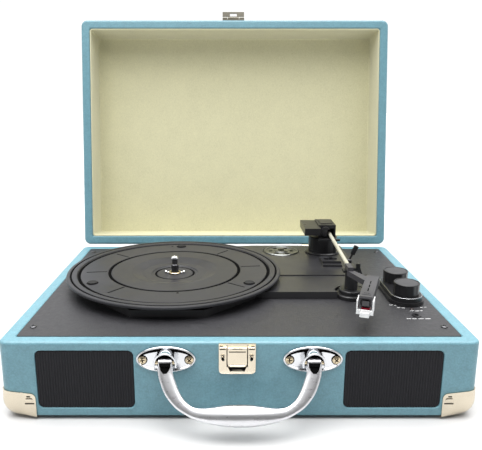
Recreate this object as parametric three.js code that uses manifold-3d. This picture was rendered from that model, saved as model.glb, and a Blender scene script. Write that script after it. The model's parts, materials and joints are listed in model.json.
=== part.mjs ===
// A portable record player in a small suitcase: a covered wooden box with two front speakers,
// a belt-driven platter and a tonearm on its deck, and a lid that leans back open.
// Millimetres, +X to the player's right, +Y to its rear, +Z up.
import * as THREE from "three";
import * as BufferGeometryUtils from "three/addons/utils/BufferGeometryUtils.js";
import Module from "manifold-3d";

const wasm = await Module();
wasm.setup();

// ---- driving dimensions -------------------------------------------------------------------

const GAP = 0.3;

const CASE_W = 355;
const CASE_D = 260;
const BASE_H = 60;
const FOOT_H = 3;
const CORNER_R = 7;
const RIM_W = 10.5;
const WALL = 14;
const BOARD = 3;
const RIM_Z = FOOT_H + BASE_H;
const DECK_BOTTOM = RIM_Z - BOARD;

const LID_OPEN = THREE.MathUtils.degToRad(99.6);
const LID_WALL = 9.6;
const LID_BOARD = 4;
const LINING = 1;
const LID_DEPTH = 41.6;
const LID_H = LID_DEPTH + LINING + 0.2 + LID_BOARD;
const LID_GAP = 0.4;
const HINGE = { x: 95, y: CASE_D + 2.2, z: RIM_Z - GAP, r: 2, width: 30 };

const GRILLE = { x: 114.3, z: RIM_Z - 30.1, w: 72, h: 46, r: 4, depth: 2.2 };
const SPEAKER_R = 25.5;
const SOCKETS = { x: -100, z: 32, w: 100, h: 34 };

const LATCH = { x: -1.6, w: 27, top: RIM_Z - 0.8, h: 23.8, r: 3 };
const TONGUE = { w: 14.2, top: RIM_Z - 2.6, h: 16, y: -2.2 };
const HASP = { w: 25, z: RIM_Z + 5.5, y: -3.2, length: 7.1, t: 1 };
const GUARD = { w: 25.5, h: 22, t: 0.8, fall: 3, r: 4, ball: 12, ballDepth: 5, gap: 0.15 };

const BRACKET = { x: 53.9, z: RIM_Z - 13, w: 44, h: 20.4, t: 1.4, hood: 8.4, pinY: -6, pinR: 1.5 };
const HANDLE_TILT = THREE.MathUtils.degToRad(33);

const PLATTER = { x: -59, y: 136, r: 100.5, top: RIM_Z + 13, ring: 62, bore: 4 };
const PAD = { orbit: 80.5, r: 4.2, h: 1 };
const SPINDLE_R = 3.55;
const PLATE_TOP = RIM_Z + 6.5;
const PLATE_T = 2.2;
const WELL = { r: 80, wall: 2, floor: RIM_Z + 1.1, t: 2.2 };
const PULLEY = { orbit: 71, angle: 135, r: 4.5 };
const BELT = { t: 1.1, z: WELL.floor + 2.2, h: 4 };
const ADAPTER = { x: 50.6, y: 218.3, r: 19, h: 3.2 };

const PIVOT = { x: 95.5, y: 215 };
const TURRET = { r: 15.3, flange: 18.5, top: RIM_Z + 25.1 };
const TILT_AXIS = { y: 209, z: RIM_Z + 29.2 };
const TUBE = { r: 1.85, rear: [101.2, 212], front: [97.9, 97], drop: 0.9 };
const SHELL = { rear: [112.6, 67.5], front: [95, 18.5], w: 10.2, top: RIM_Z + 28.3, h: 8.3 };
const STYLUS_TIP = RIM_Z + 14.4;
const REST = { x: 101, y: 93.7, r: 5.7, top: RIM_Z + 25.4 };
const CLIP = { x: 106.2, z: RIM_Z + 29.6, length: 13, open: 70 };
const CUE = { x: 115, y: 170, z: PLATE_TOP + 3.2 };
const LIFT = { x: 104.5, y: 192, top: RIM_Z + 26.8 };
const SPEED = { x: 97, y: 171.5, w: 19, d: 23, h: 4.2 };

const KNOB = { x: 146.5, r: 11, front: 82.5, rear: 115.5, h: 10.3 };
const PLINTH = { r: 13.5, skirt: 1.5, top: RIM_Z + 7 };
const JACK = { x: 145.6, y: 50 };
const LED = { x: 146, y: 63.5, r: 1.5 };

// ---- materials ----------------------------------------------------------------------------

function material(color, roughness, metalness = 0) {
  return new THREE.MeshStandardMaterial({ color, roughness, metalness });
}

const MATERIALS = {
  leatherette: material("#7fb4c4", 0.55),
  lining: material("#d8d3ae", 0.9),
  fibreboard: material("#8a6c4a", 0.85),
  deck: material("#3a3a3e", 0.7),
  blackPlastic: material("#1c1c1e", 0.45),
  platter: material("#4a4a46", 0.5),
  rubber: material("#151515", 0.85),
  chrome: material("#d9dde0", 0.12, 1),
  nickel: material("#d8cdb8", 0.3, 1),
  steel: material("#b9bcc0", 0.35, 1),
  cloth: material("#141416", 0.9),
  creamPlastic: material("#d6d4bd", 0.4),
  whitePlastic: material("#f2f2f0", 0.4),
  redPlastic: material("#a01822", 0.4),
  greyPlastic: material("#6c6c68", 0.45),
  board: material("#1f5a36", 0.6),
  lens: material("#9b1a1a", 0.2),
};

// ---- shapes and solids --------------------------------------------------------------------

function solidOf(geometry) {
  const bare = geometry.clone();
  bare.deleteAttribute("normal");
  bare.deleteAttribute("uv");
  const merged = BufferGeometryUtils.mergeVertices(bare, 1e-4);
  const mesh = new wasm.Mesh({
    numProp: 3,
    vertProperties: new Float32Array(merged.attributes.position.array),
    triVerts: new Uint32Array(merged.index.array),
  });
  return new wasm.Manifold(mesh);
}

function geometryOf(solid) {
  const mesh = solid.getMesh();
  const geometry = new THREE.BufferGeometry();
  geometry.setAttribute("position", new THREE.BufferAttribute(mesh.vertProperties, 3));
  geometry.setIndex(new THREE.BufferAttribute(mesh.triVerts, 1));
  geometry.computeVertexNormals();
  return geometry;
}

function join(...geometries) {
  return geometryOf(geometries.map(solidOf).reduce((a, b) => a.add(b)));
}

function cut(geometry, ...tools) {
  return geometryOf(tools.map(solidOf).reduce((a, b) => a.subtract(b), solidOf(geometry)));
}

function common(a, b) {
  return geometryOf(solidOf(a).intersect(solidOf(b)));
}

// a box from its low corner to its high corner
function block(x0, x1, y0, y1, z0, z1) {
  const box = new THREE.BoxGeometry(x1 - x0, y1 - y0, z1 - z0);
  return box.translate((x0 + x1) / 2, (y0 + y1) / 2, (z0 + z1) / 2);
}

// an upright cylinder on (x, y), from z0 up to z1
function post(x, y, r, z0, z1, sides = 32) {
  const cylinder = new THREE.CylinderGeometry(r, r, z1 - z0, sides);
  return cylinder.rotateX(Math.PI / 2).translate(x, y, (z0 + z1) / 2);
}

// a cylinder lying along X
function rod(x0, x1, y, z, r, sides = 20) {
  const cylinder = new THREE.CylinderGeometry(r, r, x1 - x0, sides);
  return cylinder.rotateZ(Math.PI / 2).translate((x0 + x1) / 2, y, z);
}

// a cylinder lying along Y
function peg(x, y0, y1, z, r, sides = 14) {
  return new THREE.CylinderGeometry(r, r, y1 - y0, sides).translate(x, (y0 + y1) / 2, z);
}

// a solid of revolution about the vertical through (x, y), from [radius, height] points
function turned(x, y, profile, sides = 48) {
  const points = profile.map(([r, z]) => new THREE.Vector2(r, z));
  return new THREE.LatheGeometry(points, sides).rotateX(Math.PI / 2).translate(x, y, 0);
}

function roundedRect(w, h, r) {
  const shape = new THREE.Shape();
  const x = w / 2 - r;
  const y = h / 2 - r;
  shape.absarc(x, -y, r, -Math.PI / 2, 0);
  shape.absarc(x, y, r, 0, Math.PI / 2);
  shape.absarc(-x, y, r, Math.PI / 2, Math.PI);
  shape.absarc(-x, -y, r, Math.PI, 1.5 * Math.PI);
  shape.closePath();
  return shape;
}

function polygon(points) {
  return new THREE.Shape(points.map(([x, y]) => new THREE.Vector2(x, y)));
}

// a shape in plan, standing from z0 up to z1
function slab(shape, z0, z1, curveSegments = 6) {
  const options = { depth: z1 - z0, bevelEnabled: false, curveSegments };
  return new THREE.ExtrudeGeometry(shape, options).translate(0, 0, z0);
}

// a shape seen from the front (X across, Z up), from y0 back to y1
function facing(shape, y0, y1, curveSegments = 4) {
  const options = { depth: y1 - y0, bevelEnabled: false, curveSegments };
  return new THREE.ExtrudeGeometry(shape, options).rotateX(Math.PI / 2).translate(0, y1, 0);
}

// a rounded rectangle of the case's plan, smaller than the case by inset all round
function casePlan(inset, r, z0, z1) {
  const plan = roundedRect(CASE_W - 2 * inset, CASE_D - 2 * inset, r);
  return slab(plan, z0, z1).translate(0, CASE_D / 2, 0);
}

const player = new THREE.Group();

function add(name, geometry, look, group = player) {
  const mesh = new THREE.Mesh(geometry, look);
  mesh.name = name;
  group.add(mesh);
  return mesh;
}

// ---- the base of the case -----------------------------------------------------------------

function grilleWindow(side, margin, y0, y1) {
  const shape = roundedRect(GRILLE.w + margin, GRILLE.h + margin, GRILLE.r);
  return facing(shape, y0, y1).translate(side * GRILLE.x, 0, GRILLE.z);
}

function baseShell() {
  const tools = [
    casePlan(WALL, 2, FOOT_H - 1, DECK_BOTTOM - 0.2),
    casePlan(RIM_W, 2, DECK_BOTTOM - 0.3, RIM_Z + 1),
    casePlan(RIM_W, 2, FOOT_H - 1, FOOT_H + BOARD + 0.2),
  ];
  for (const side of [-1, 1]) {
    tools.push(grilleWindow(side, -6, -1, WALL + 1));
    tools.push(grilleWindow(side, 0.6, -1, GRILLE.depth + GAP));
  }
  const { x, z, w, h } = SOCKETS;
  const inner = CASE_D - WALL - 1;
  tools.push(block(x - w / 2 + 5, x + w / 2 - 5, inner, CASE_D + 1, z - h / 2 + 4, z + h / 2 - 4));
  tools.push(block(x - w / 2, x + w / 2, CASE_D - 2.2, CASE_D + 1, z - h / 2, z + h / 2));
  for (const sideX of [-1, 1]) {
    tools.push(cornerWaste(sideX, -1), cornerWaste(sideX, 1));
  }
  return cut(casePlan(0, CORNER_R, FOOT_H, RIM_Z), ...tools);
}

// The case's front right bottom corner, grown outwards: its edges round off towards a ball at
// the corner itself, where the metal guard fits over it.
function cornerBody(grow) {
  const { w, h, ball, ballDepth } = GUARD;
  const top = FOOT_H + h + 1;
  const round = CORNER_R + grow;
  const points = [];
  for (const z of [FOOT_H - grow, top]) {
    points.push([CASE_W / 2 - w - 2, -grow, z], [CASE_W / 2 + grow, w + 2, z], [CASE_W / 2 - w - 2, w + 2, z]);
  }
  for (let k = 0; k <= 6; k += 1) {
    const a = (Math.PI / 12) * k;
    const x = CASE_W / 2 - CORNER_R + round * Math.sin(a);
    points.push([x, CORNER_R - round * Math.cos(a), top]);
  }
  const sphere = new THREE.SphereGeometry(1, 24, 16).attributes.position;
  for (let i = 0; i < sphere.count; i += 1) {
    const x = CASE_W / 2 - ball + sphere.getX(i) * (ball + grow);
    const y = ballDepth + sphere.getY(i) * (ballDepth + grow);
    points.push([x, y, FOOT_H + ball + sphere.getZ(i) * (ball + grow)]);
  }
  return wasm.Manifold.hull(points);
}

// what the rounding takes off one bottom corner of the case
function cornerWaste(sideX, sideY) {
  const { w, h } = GUARD;
  const whole = solidOf(block(CASE_W / 2 - w - 1, CASE_W / 2 + 2, -2, w + 1, FOOT_H - 1, FOOT_H + h + 0.5));
  return geometryOf(mirrored(whole.subtract(cornerBody(0)), sideX, sideY));
}

function cornerGuard(sideX, sideY) {
  const { w, h, t, fall, r, gap } = GUARD;
  const x0 = CASE_W / 2 - w;
  const top = FOOT_H + h;
  const shell = cornerBody(t + gap).subtract(cornerBody(gap));
  const corner = solidOf(block(x0, CASE_W / 2 + 2, -2, w, 0, top));
  const above = [[x0 - 1, top + 2], [x0 - 1, top - fall - r]];
  for (let k = 0; k <= 4; k += 1) {
    const a = Math.PI - (Math.PI / 8) * k;
    above.push([x0 + r + r * Math.cos(a), top - fall - r + r * Math.sin(a)]);
  }
  above.push([CASE_W / 2 + 3, top], [CASE_W / 2 + 3, top + 2]);
  const front = solidOf(facing(polygon(above), -3, CORNER_R));
  const side = front.translate([-CASE_W / 2, 0, 0]).mirror([1, 1, 0]).translate([CASE_W / 2, 0, 0]);
  const guard = shell.intersect(corner).subtract(front).subtract(side);
  return geometryOf(mirrored(guard, sideX, sideY));
}

// a solid copied to the left or the rear of the case
function mirrored(solid, sideX, sideY) {
  let result = solid;
  if (sideX < 0) result = result.mirror([1, 0, 0]);
  if (sideY > 0) result = result.mirror([0, 1, 0]).translate([0, CASE_D, 0]);
  return result;
}

function addCase() {
  add("base_shell", baseShell(), MATERIALS.leatherette);
  add("bottom_panel", casePlan(RIM_W + GAP, 2, FOOT_H, FOOT_H + BOARD), MATERIALS.fibreboard);
  let corner = 0;
  for (const sideY of [-1, 1]) {
    for (const sideX of [-1, 1]) {
      corner += 1;
      const y = sideY < 0 ? 10 : CASE_D - 10;
      const foot = turned(sideX * 139.5, y, [[0, 0], [5.2, 0], [6, 0.8], [6, 2.9], [0, 2.9]], 24);
      add(`foot_${corner}`, foot, MATERIALS.rubber);
      add(`corner_guard_${corner}`, cornerGuard(sideX, sideY), MATERIALS.nickel);
    }
  }
}

// ---- speakers and electronics -------------------------------------------------------------

function speaker(side) {
  const cone = [[0, 9], [8, 9], [21, 1.5], [22.5, 0], [SPEAKER_R, 0], [SPEAKER_R, 3], [23, 3]];
  const basket = [[15, 17], [15, 29], [0, 29]];
  const driver = turned(0, 0, [...cone, ...basket], 20);
  return driver.rotateX(-Math.PI / 2).translate(side * GRILLE.x, WALL + GAP, GRILLE.z);
}

function socketPlate() {
  const { x, z, w, h } = SOCKETS;
  const face = block(x - w / 2 + GAP, x + w / 2 - GAP, CASE_D - 1.8, CASE_D, z - h / 2 + GAP, z + h / 2 - GAP);
  const sockets = [];
  const bores = [];
  for (const offset of [-30, -14, 8]) {
    sockets.push(peg(x + offset, CASE_D - 12, CASE_D + 7, z, 4.2));
    bores.push(peg(x + offset, CASE_D - 6, CASE_D + 8, z, 1.7, 10));
  }
  const rocker = block(x + 25, x + 37, CASE_D - 1, CASE_D + 1.6, z - 6, z + 6);
  return cut(join(face, rocker, ...sockets), ...bores);
}

function amplifierBoard() {
  const z = FOOT_H + BOARD + 6;
  const { x } = SOCKETS;
  return join(
    block(x - 45, x + 45, 180, 236, z, z + 1.6),
    block(x - 30, x - 5, 205, 211, z + 1, z + 14),
    post(x + 15, 215, 6, z + 1, z + 15, 20),
    post(x + 30, 200, 4, z + 1, z + 11, 20),
    post(x - 40, 185, 3, FOOT_H + BOARD + 0.2, z + 1, 12),
    post(x + 40, 185, 3, FOOT_H + BOARD + 0.2, z + 1, 12),
    post(x - 40, 231, 3, FOOT_H + BOARD + 0.2, z + 1, 12),
    post(x + 40, 231, 3, FOOT_H + BOARD + 0.2, z + 1, 12),
  );
}

function controlBoard() {
  const z = RIM_Z - 19;
  const { x, front, rear } = KNOB;
  return join(
    block(x - 14, x + 14, front - 14, rear + 14, z, z + 1.6),
    post(x, front, 8, z + 1, z + 11.5, 24),
    post(x, rear, 8, z + 1, z + 11.5, 24),
    block(x - 10, x - 2, (front + rear) / 2 - 5, (front + rear) / 2 + 5, z + 1, z + 8),
  );
}

function addElectronics() {
  for (const [side, name] of [[-1, "left"], [1, "right"]]) {
    add(`speaker_${name}`, speaker(side), MATERIALS.rubber);
    add(`grille_${name}`, grilleWindow(side, 0, 0, GRILLE.depth), MATERIALS.cloth);
  }
  add("socket_plate", socketPlate(), MATERIALS.blackPlastic);
  add("amplifier_board", amplifierBoard(), MATERIALS.board);
  add("control_board", controlBoard(), MATERIALS.board);
}

// ---- latch and handle on the front --------------------------------------------------------

function latchPlate() {
  const { x, w, top, h, r } = LATCH;
  const edge = [[x - w / 2, top]];
  for (const side of [-1, 1]) {
    for (let k = 0; k <= 4; k += 1) {
      const a = (Math.PI / 8) * (side < 0 ? k : 4 - k);
      edge.push([x + side * (w / 2 - r + r * Math.cos(a)), top - h + r - r * Math.sin(a)]);
    }
  }
  edge.push([x + w / 2, top]);
  const outline = polygon(edge);
  const under = TONGUE.w / 2;
  const bottom = TONGUE.top - TONGUE.h;
  const slot = polygon([
    [x - under + 1, bottom + 3], [x - under + 2.5, bottom - 3],
    [x + under - 2.5, bottom - 3], [x + under - 1, bottom + 3],
  ]);
  const nails = [-1, 1].map((side) => peg(x + side * 10.3, -3, 1, top - 12.5, 1.1, 16));
  const knuckles = [-1, 1].map((side) => {
    const inner = x + side * (under + 0.4);
    const outer = x + side * (under + 3);
    return rod(Math.min(inner, outer), Math.max(inner, outer), TONGUE.y, TONGUE.top - 1.2, 1.1, 16);
  });
  return join(cut(facing(outline, -1.3, -0.1), facing(slot, -2, 0.5), ...nails), ...knuckles);
}

function latchTongue() {
  const { x } = LATCH;
  const { w, top, h, y } = TONGUE;
  const c = 2;
  const outline = polygon([
    [x - w / 2, top - 1.2], [x - w / 2, top - h + c], [x - w / 2 + c, top - h],
    [x + w / 2 - c, top - h], [x + w / 2, top - h + c], [x + w / 2, top - 1.2],
  ]);
  return join(facing(outline, y - 0.5, y + 0.5), rod(x - w / 2, x + w / 2, y, top - 1.2, 0.75, 16));
}

function handleBracket(side) {
  const { w, h, t, hood, pinY, pinR } = BRACKET;
  const plate = new THREE.Shape();
  plate.moveTo(-w / 2, 0);
  plate.quadraticCurveTo(-w / 2, 3, -w / 2 + 6, 5.4);
  plate.quadraticCurveTo(0, h / 2 + 5, w / 2 - 6, 5.4);
  plate.quadraticCurveTo(w / 2, 3, w / 2, 0);
  plate.quadraticCurveTo(w / 2, -3, w / 2 - 6, -5.4);
  plate.quadraticCurveTo(0, -h / 2 - 5, -w / 2 + 6, -5.4);
  plate.quadraticCurveTo(-w / 2, -3, -w / 2, 0);
  const arch = new THREE.Shape();
  arch.moveTo(hood, -3);
  arch.absarc(0, 0, hood, 0, Math.PI);
  arch.lineTo(-hood, -3);
  arch.lineTo(-hood + 1.3, -3);
  arch.absarc(0, 0, hood - 1.3, Math.PI, 0, true);
  arch.lineTo(hood - 1.3, -3);
  const body = join(
    facing(plate, -t - 0.1, -0.1, 6),
    facing(arch, pinY - 3, -t, 10),
    rod(-hood + 0.5, hood - 0.5, pinY, 0, pinR, 16),
  );
  return body.translate(side * BRACKET.x, 0, BRACKET.z);
}

// The handle hangs in a plane through its two pins: x across and s down from the pins.
function handleCurve() {
  const half = [[53.9, 0], [53.6, 7], [51.4, 14], [47.6, 22], [41.6, 29.4], [33, 34.6], [23, 36.4], [11, 36.6]];
  const left = half.map(([x, s]) => new THREE.Vector3(-x, 0, -s));
  const right = half.map(([x, s]) => new THREE.Vector3(x, 0, -s)).reverse();
  return new THREE.CatmullRomCurve3([...left, ...right], false, "centripetal");
}

// The handle's half width and half thickness, at t from one pin (0) to the other (1).
function handleSection(t) {
  const inward = 1 - Math.abs(2 * t - 1);
  const strap = THREE.MathUtils.lerp(5.4, 3.6, THREE.MathUtils.smoothstep(inward, 0.2, 0.55));
  const grip = THREE.MathUtils.smoothstep(inward, 0.5, 0.95);
  return [THREE.MathUtils.lerp(strap, 7.6, grip), THREE.MathUtils.lerp(2.2, 5.2, grip)];
}

function handleBar() {
  const steps = 36;
  const curve = handleCurve();
  const bar = new THREE.CylinderGeometry(1, 1, 1, 12, steps);
  const place = bar.attributes.position;
  for (let i = 0; i < place.count; i += 1) {
    const t = place.getY(i) + 0.5;
    const [wide, thick] = handleSection(t);
    const centre = curve.getPointAt(t);
    const along = curve.getTangentAt(t);
    const across = new THREE.Vector3(along.z, 0, -along.x);
    const point = centre.addScaledVector(across, place.getX(i) * wide);
    place.setXYZ(i, point.x, -place.getZ(i) * thick, point.z);
  }
  const eyes = [-1, 1].map((side) => {
    const middle = side * BRACKET.x;
    return rod(middle - 5.2, middle + 5.2, 0, 0, 3.5, 24);
  });
  const bores = [-1, 1].map((side) => {
    const middle = side * BRACKET.x;
    return rod(middle - 7, middle + 7, 0, 0, BRACKET.pinR + 0.25, 16);
  });
  const band = block(-80, 80, -6, 6, -60, 3.5);
  return cut(join(common(bar, band), ...eyes), ...bores);
}

function addFront() {
  add("latch_plate", latchPlate(), MATERIALS.nickel);
  add("latch_tongue", latchTongue(), MATERIALS.nickel);
  add("handle_bracket_left", handleBracket(-1), MATERIALS.chrome);
  add("handle_bracket_right", handleBracket(1), MATERIALS.chrome);
  const handle = add("handle", handleBar(), MATERIALS.chrome);
  handle.position.set(0, BRACKET.pinY, BRACKET.z);
  handle.rotation.x = -HANDLE_TILT;
}

// ---- the deck and the drive ---------------------------------------------------------------

function deckPanel() {
  const z0 = DECK_BOTTOM - 1;
  const z1 = RIM_Z + 1;
  const panel = casePlan(RIM_W + GAP, 2, DECK_BOTTOM, RIM_Z);
  return cut(
    panel,
    post(PLATTER.x, PLATTER.y, WELL.r + WELL.wall + 1.5, z0, z1, 48),
    post(KNOB.x, KNOB.front, 4, z0, z1, 20),
    post(KNOB.x, KNOB.rear, 4, z0, z1, 20),
    post(JACK.x, JACK.y, 3.6, z0, z1, 20),
    post(LED.x, LED.y, LED.r + GAP, z0, z1, 16),
  );
}

// The raised plate that carries the platter and the arm, in plan, shrunk by inset all round.
function platePlan(inset) {
  const k = inset * 0.41;
  return polygon([
    [-87 + k, 45.5 + inset], [-27 - k, 45.5 + inset], [16 - k, 88 + inset], [120 - inset, 88 + inset],
    [120 - inset, 240 - inset], [20 + k, 240 - inset], [-110 + k, 222 - inset],
    [-145 + inset, 172], [-145 + inset, 102 + k],
  ]);
}

function mechanismPlate() {
  const { x, y } = PLATTER;
  const base = RIM_Z + 0.2;
  const wellBottom = WELL.floor - WELL.t;
  const shell = cut(slab(platePlan(0), base, PLATE_TOP), slab(platePlan(PLATE_T), base - 1, PLATE_TOP - PLATE_T));
  const turn = THREE.MathUtils.degToRad(PULLEY.angle);
  const motor = [x + PULLEY.orbit * Math.cos(turn), y + PULLEY.orbit * Math.sin(turn)];
  const body = join(
    shell,
    post(x, y, WELL.r + WELL.wall, wellBottom, PLATE_TOP - 0.5, 48),
    post(ADAPTER.x, ADAPTER.y, ADAPTER.r + 3, base, PLATE_TOP - 0.5, 40),
  );
  const hollowed = cut(
    body,
    post(x, y, WELL.r, WELL.floor, PLATE_TOP + 1, 48),
    post(ADAPTER.x, ADAPTER.y, ADAPTER.r + 0.8, PLATE_TOP - 2.4, PLATE_TOP + 1, 40),
    post(REST.x, REST.y, 14, base - 1, PLATE_TOP + 1, 40),
    block(20, 108, 91, 135, PLATE_TOP - 0.8, PLATE_TOP + 1),
    post(...motor, 2.6, wellBottom - 1, WELL.floor + 1, 20),
  );
  const boss = post(x, y, 9, WELL.floor - 1, WELL.floor + 1.6, 32);
  return cut(join(hollowed, boss), post(x, y, SPINDLE_R + GAP, wellBottom - 1, WELL.floor + 3, 24));
}

function platterDisc() {
  const { x, y, r, top, ring, bore } = PLATTER;
  const fromTheBoreOut = [
    [bore, top - 10], [bore, top - 4.9], [21, top - 4.9], [22, top - 3.9], [31, top - 3.9], [41, top - 1.2],
    [59.6, top - 1.1], [59.9, top - 2.3], [62.6, top - 2.3], [62.9, top - 1], [87.4, top - 1],
    [87.7, top - 2.3], [90.3, top - 2.3], [90.9, top - 0.3], [95.4, top], [95.8, top - 1], [97.2, top - 1],
    [97.6, top], [r - 0.5, top - 0.2], [r, top - 0.8], [r, top - 2.8],
    [ring, top - 4.2], [ring, top - 10], [ring - 2.4, top - 10],
    [ring - 2.4, top - 4.4], [34, top - 6.2], [12, top - 6.2], [12, top - 10], [bore, top - 10],
  ];
  const disc = turned(x, y, fromTheBoreOut.reverse(), 64);
  const grooves = [];
  for (const angle of [7, 52, 142, 187, 232, 322]) {
    const groove = block(64, 83, -0.8, 0.8, top - 2, top);
    grooves.push(groove.rotateZ(THREE.MathUtils.degToRad(angle)).translate(x, y, 0));
  }
  for (const [angle, orbit] of [[97, 81.5], [277, 66]]) {
    const turn = THREE.MathUtils.degToRad(angle);
    grooves.push(post(x + orbit * Math.cos(turn), y + orbit * Math.sin(turn), 0.8, top - 1.8, top, 10));
  }
  return cut(disc, ...grooves);
}

// The belt's outline round the platter's ring and the motor's pulley, both grown by grow.
function beltPlan(grow) {
  const big = PLATTER.ring + grow;
  const small = PULLEY.r + grow;
  const wrap = Math.acos((big - small) / PULLEY.orbit);
  const shape = new THREE.Shape();
  shape.absarc(0, 0, big, wrap, 2 * Math.PI - wrap);
  shape.absarc(PULLEY.orbit, 0, small, -wrap, wrap);
  shape.closePath();
  return shape;
}

function driveBelt() {
  const plan = beltPlan(GAP + BELT.t);
  plan.holes.push(beltPlan(GAP));
  const belt = slab(plan, BELT.z, BELT.z + BELT.h, 20);
  return belt.rotateZ(THREE.MathUtils.degToRad(PULLEY.angle)).translate(PLATTER.x, PLATTER.y, 0);
}

function addDrive() {
  const { x, y, top } = PLATTER;
  const turn = THREE.MathUtils.degToRad(PULLEY.angle);
  const motorX = x + PULLEY.orbit * Math.cos(turn);
  const motorY = y + PULLEY.orbit * Math.sin(turn);
  const motorTop = DECK_BOTTOM - 0.6;
  const can = [[0, motorTop - 27], [16.5, motorTop - 27], [17.5, motorTop - 26], [17.5, motorTop], [0, motorTop]];
  const shaftLow = motorTop - 4;
  const pulley = [
    [0, shaftLow], [1.1, shaftLow], [1.1, BELT.z - 0.8], [PULLEY.r + 0.2, BELT.z - 0.8], [PULLEY.r, BELT.z],
    [PULLEY.r, BELT.z + BELT.h], [PULLEY.r + 0.2, BELT.z + BELT.h + 0.8], [0, BELT.z + BELT.h + 0.8],
  ];
  const hub = top - 4.9;
  const spindle = [
    [0, WELL.floor - 5], [SPINDLE_R, WELL.floor - 5], [SPINDLE_R, hub + 0.5], [5.6, hub + 0.5],
    [5.6, hub + 1.7], [SPINDLE_R, hub + 1.7], [SPINDLE_R, top + 9.5], [2.6, top + 11.8], [0, top + 12.6],
  ];
  add("deck_panel", deckPanel(), MATERIALS.deck);
  add("mechanism_plate", mechanismPlate(), MATERIALS.deck);
  add("motor", cut(turned(motorX, motorY, can, 24), post(motorX, motorY, 1.5, shaftLow - 0.4, motorTop + 1, 16)), MATERIALS.steel);
  add("motor_pulley", turned(motorX, motorY, pulley, 20), MATERIALS.steel);
  add("drive_belt", driveBelt(), MATERIALS.rubber);
  add("platter", platterDisc(), MATERIALS.platter);
  add("spindle", turned(x, y, spindle, 24), MATERIALS.chrome);
  for (const [index, angle] of [90, 210, 330].entries()) {
    const swing = THREE.MathUtils.degToRad(angle);
    const padX = x + PAD.orbit * Math.cos(swing);
    const padY = y + PAD.orbit * Math.sin(swing);
    add(`platter_pad_${index + 1}`, post(padX, padY, PAD.r, top - 0.9, top - 0.9 + PAD.h, 24), MATERIALS.rubber);
  }
  add("adapter_45", adapter(), MATERIALS.steel);
}

function adapter() {
  const { x, y, r, h } = ADAPTER;
  const z = PLATE_TOP - 2.2;
  const disc = [
    [SPINDLE_R + 0.2, z], [r - 1, z], [r, z + 1], [r, z + h - 0.8], [r - 0.8, z + h], [r - 2.6, z + h],
    [r - 3.2, z + h - 1], [7.4, z + h - 1], [6.8, z + h], [SPINDLE_R + 0.2, z + h], [SPINDLE_R + 0.2, z],
  ];
  const windows = [];
  for (let i = 0; i < 6; i += 1) {
    const window = post(11.4, 0, 2.6, z - 1, z + h + 1, 8);
    windows.push(window.rotateZ((i * Math.PI) / 3).translate(x, y, 0));
  }
  return cut(turned(x, y, disc, 28), ...windows);
}

// ---- the tonearm --------------------------------------------------------------------------

function turret() {
  const { x, y } = PIVOT;
  const low = PLATE_TOP + 0.2;
  return turned(x, y, [
    [0, low], [TURRET.flange, low], [TURRET.flange, low + 1.2], [TURRET.flange - 1.2, low + 2],
    [TURRET.r, low + 2], [TURRET.r, TURRET.top - 1], [TURRET.r - 1, TURRET.top], [0, TURRET.top],
  ], 28);
}

function pivotHead() {
  const front = 203;
  const rear = 232;
  const low = RIM_Z + 26;
  const high = RIM_Z + 39.3;
  return cut(
    join(
      block(88.7, 107, front, rear, low, high),
      block(72.5, 89, 191, rear, RIM_Z + 31, RIM_Z + 38.3),
      peg(95.6, front - 5, front + 1, RIM_Z + 33, 5),
      block(91.5, 104.5, front + 6, rear - 4, high - 0.5, high + 0.6),
    ),
    block(97.3, 105.2, front - 7, 215, low - 1, RIM_Z + 35.6),
  );
}

function armTube() {
  const [x0, y0] = TUBE.rear;
  const [x1, y1] = TUBE.front;
  const z0 = TILT_AXIS.z;
  const ends = [new THREE.Vector3(x0, y0, z0), new THREE.Vector3(x1, y1, z0 - TUBE.drop)];
  const length = ends[0].distanceTo(ends[1]);
  const tube = new THREE.CylinderGeometry(TUBE.r, TUBE.r, length, 24);
  const along = ends[0].clone().sub(ends[1]).normalize();
  const turn = new THREE.Quaternion().setFromUnitVectors(new THREE.Vector3(0, 1, 0), along);
  const middle = ends[0].clone().add(ends[1]).multiplyScalar(0.5);
  return tube.applyQuaternion(turn).translate(middle.x, middle.y, middle.z);
}

// A piece drawn along the headshell: x across, y from its front end (0) back, z as it stands.
function alongShell(geometry) {
  const [rearX, rearY] = SHELL.rear;
  const [frontX, frontY] = SHELL.front;
  const turn = Math.atan2(rearX - frontX, rearY - frontY);
  return geometry.rotateZ(-turn).translate(frontX, frontY, 0);
}

const SHELL_LENGTH = Math.hypot(SHELL.rear[0] - SHELL.front[0], SHELL.rear[1] - SHELL.front[1]);

function headshell() {
  const half = SHELL.w / 2;
  const low = SHELL.top - SHELL.h;
  const body = block(-half, half, 0, SHELL_LENGTH, low, SHELL.top);
  const hollow = block(-half + 1.2, half - 1.2, -1, SHELL_LENGTH - 6, low - 1, SHELL.top - 1.6);
  const outline = polygon([[94.9, 86], [100.3, 86], [108.5, 70], [110, 62], [104, 60]]);
  const neck = slab(outline, SHELL.top - 6, SHELL.top - 1.4);
  const collar = block(95.4, 100.1, 84, 96.6, RIM_Z + 25.9, RIM_Z + 30.1);
  const joined = join(alongShell(body), neck, collar);
  return cut(joined, alongShell(hollow));
}

function cartridge() {
  const half = SHELL.w / 2 - 1.5;
  const high = SHELL.top - 1.9;
  return alongShell(join(
    block(-half, half, 3.2, 19, SHELL.top - 9.5, high),
    block(-half + 1, half - 1, 1, 4, SHELL.top - 8, high - 2),
  ));
}

function stylus() {
  const high = SHELL.top - 9.8;
  const body = alongShell(block(-3, 3, 1.2, 10, high - 2.6, high));
  const tip = new THREE.ConeGeometry(0.8, high - 2 - STYLUS_TIP, 12).rotateX(-Math.PI / 2);
  return join(body, alongShell(tip.translate(0, 3, (high - 2 + STYLUS_TIP) / 2)));
}

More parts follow.
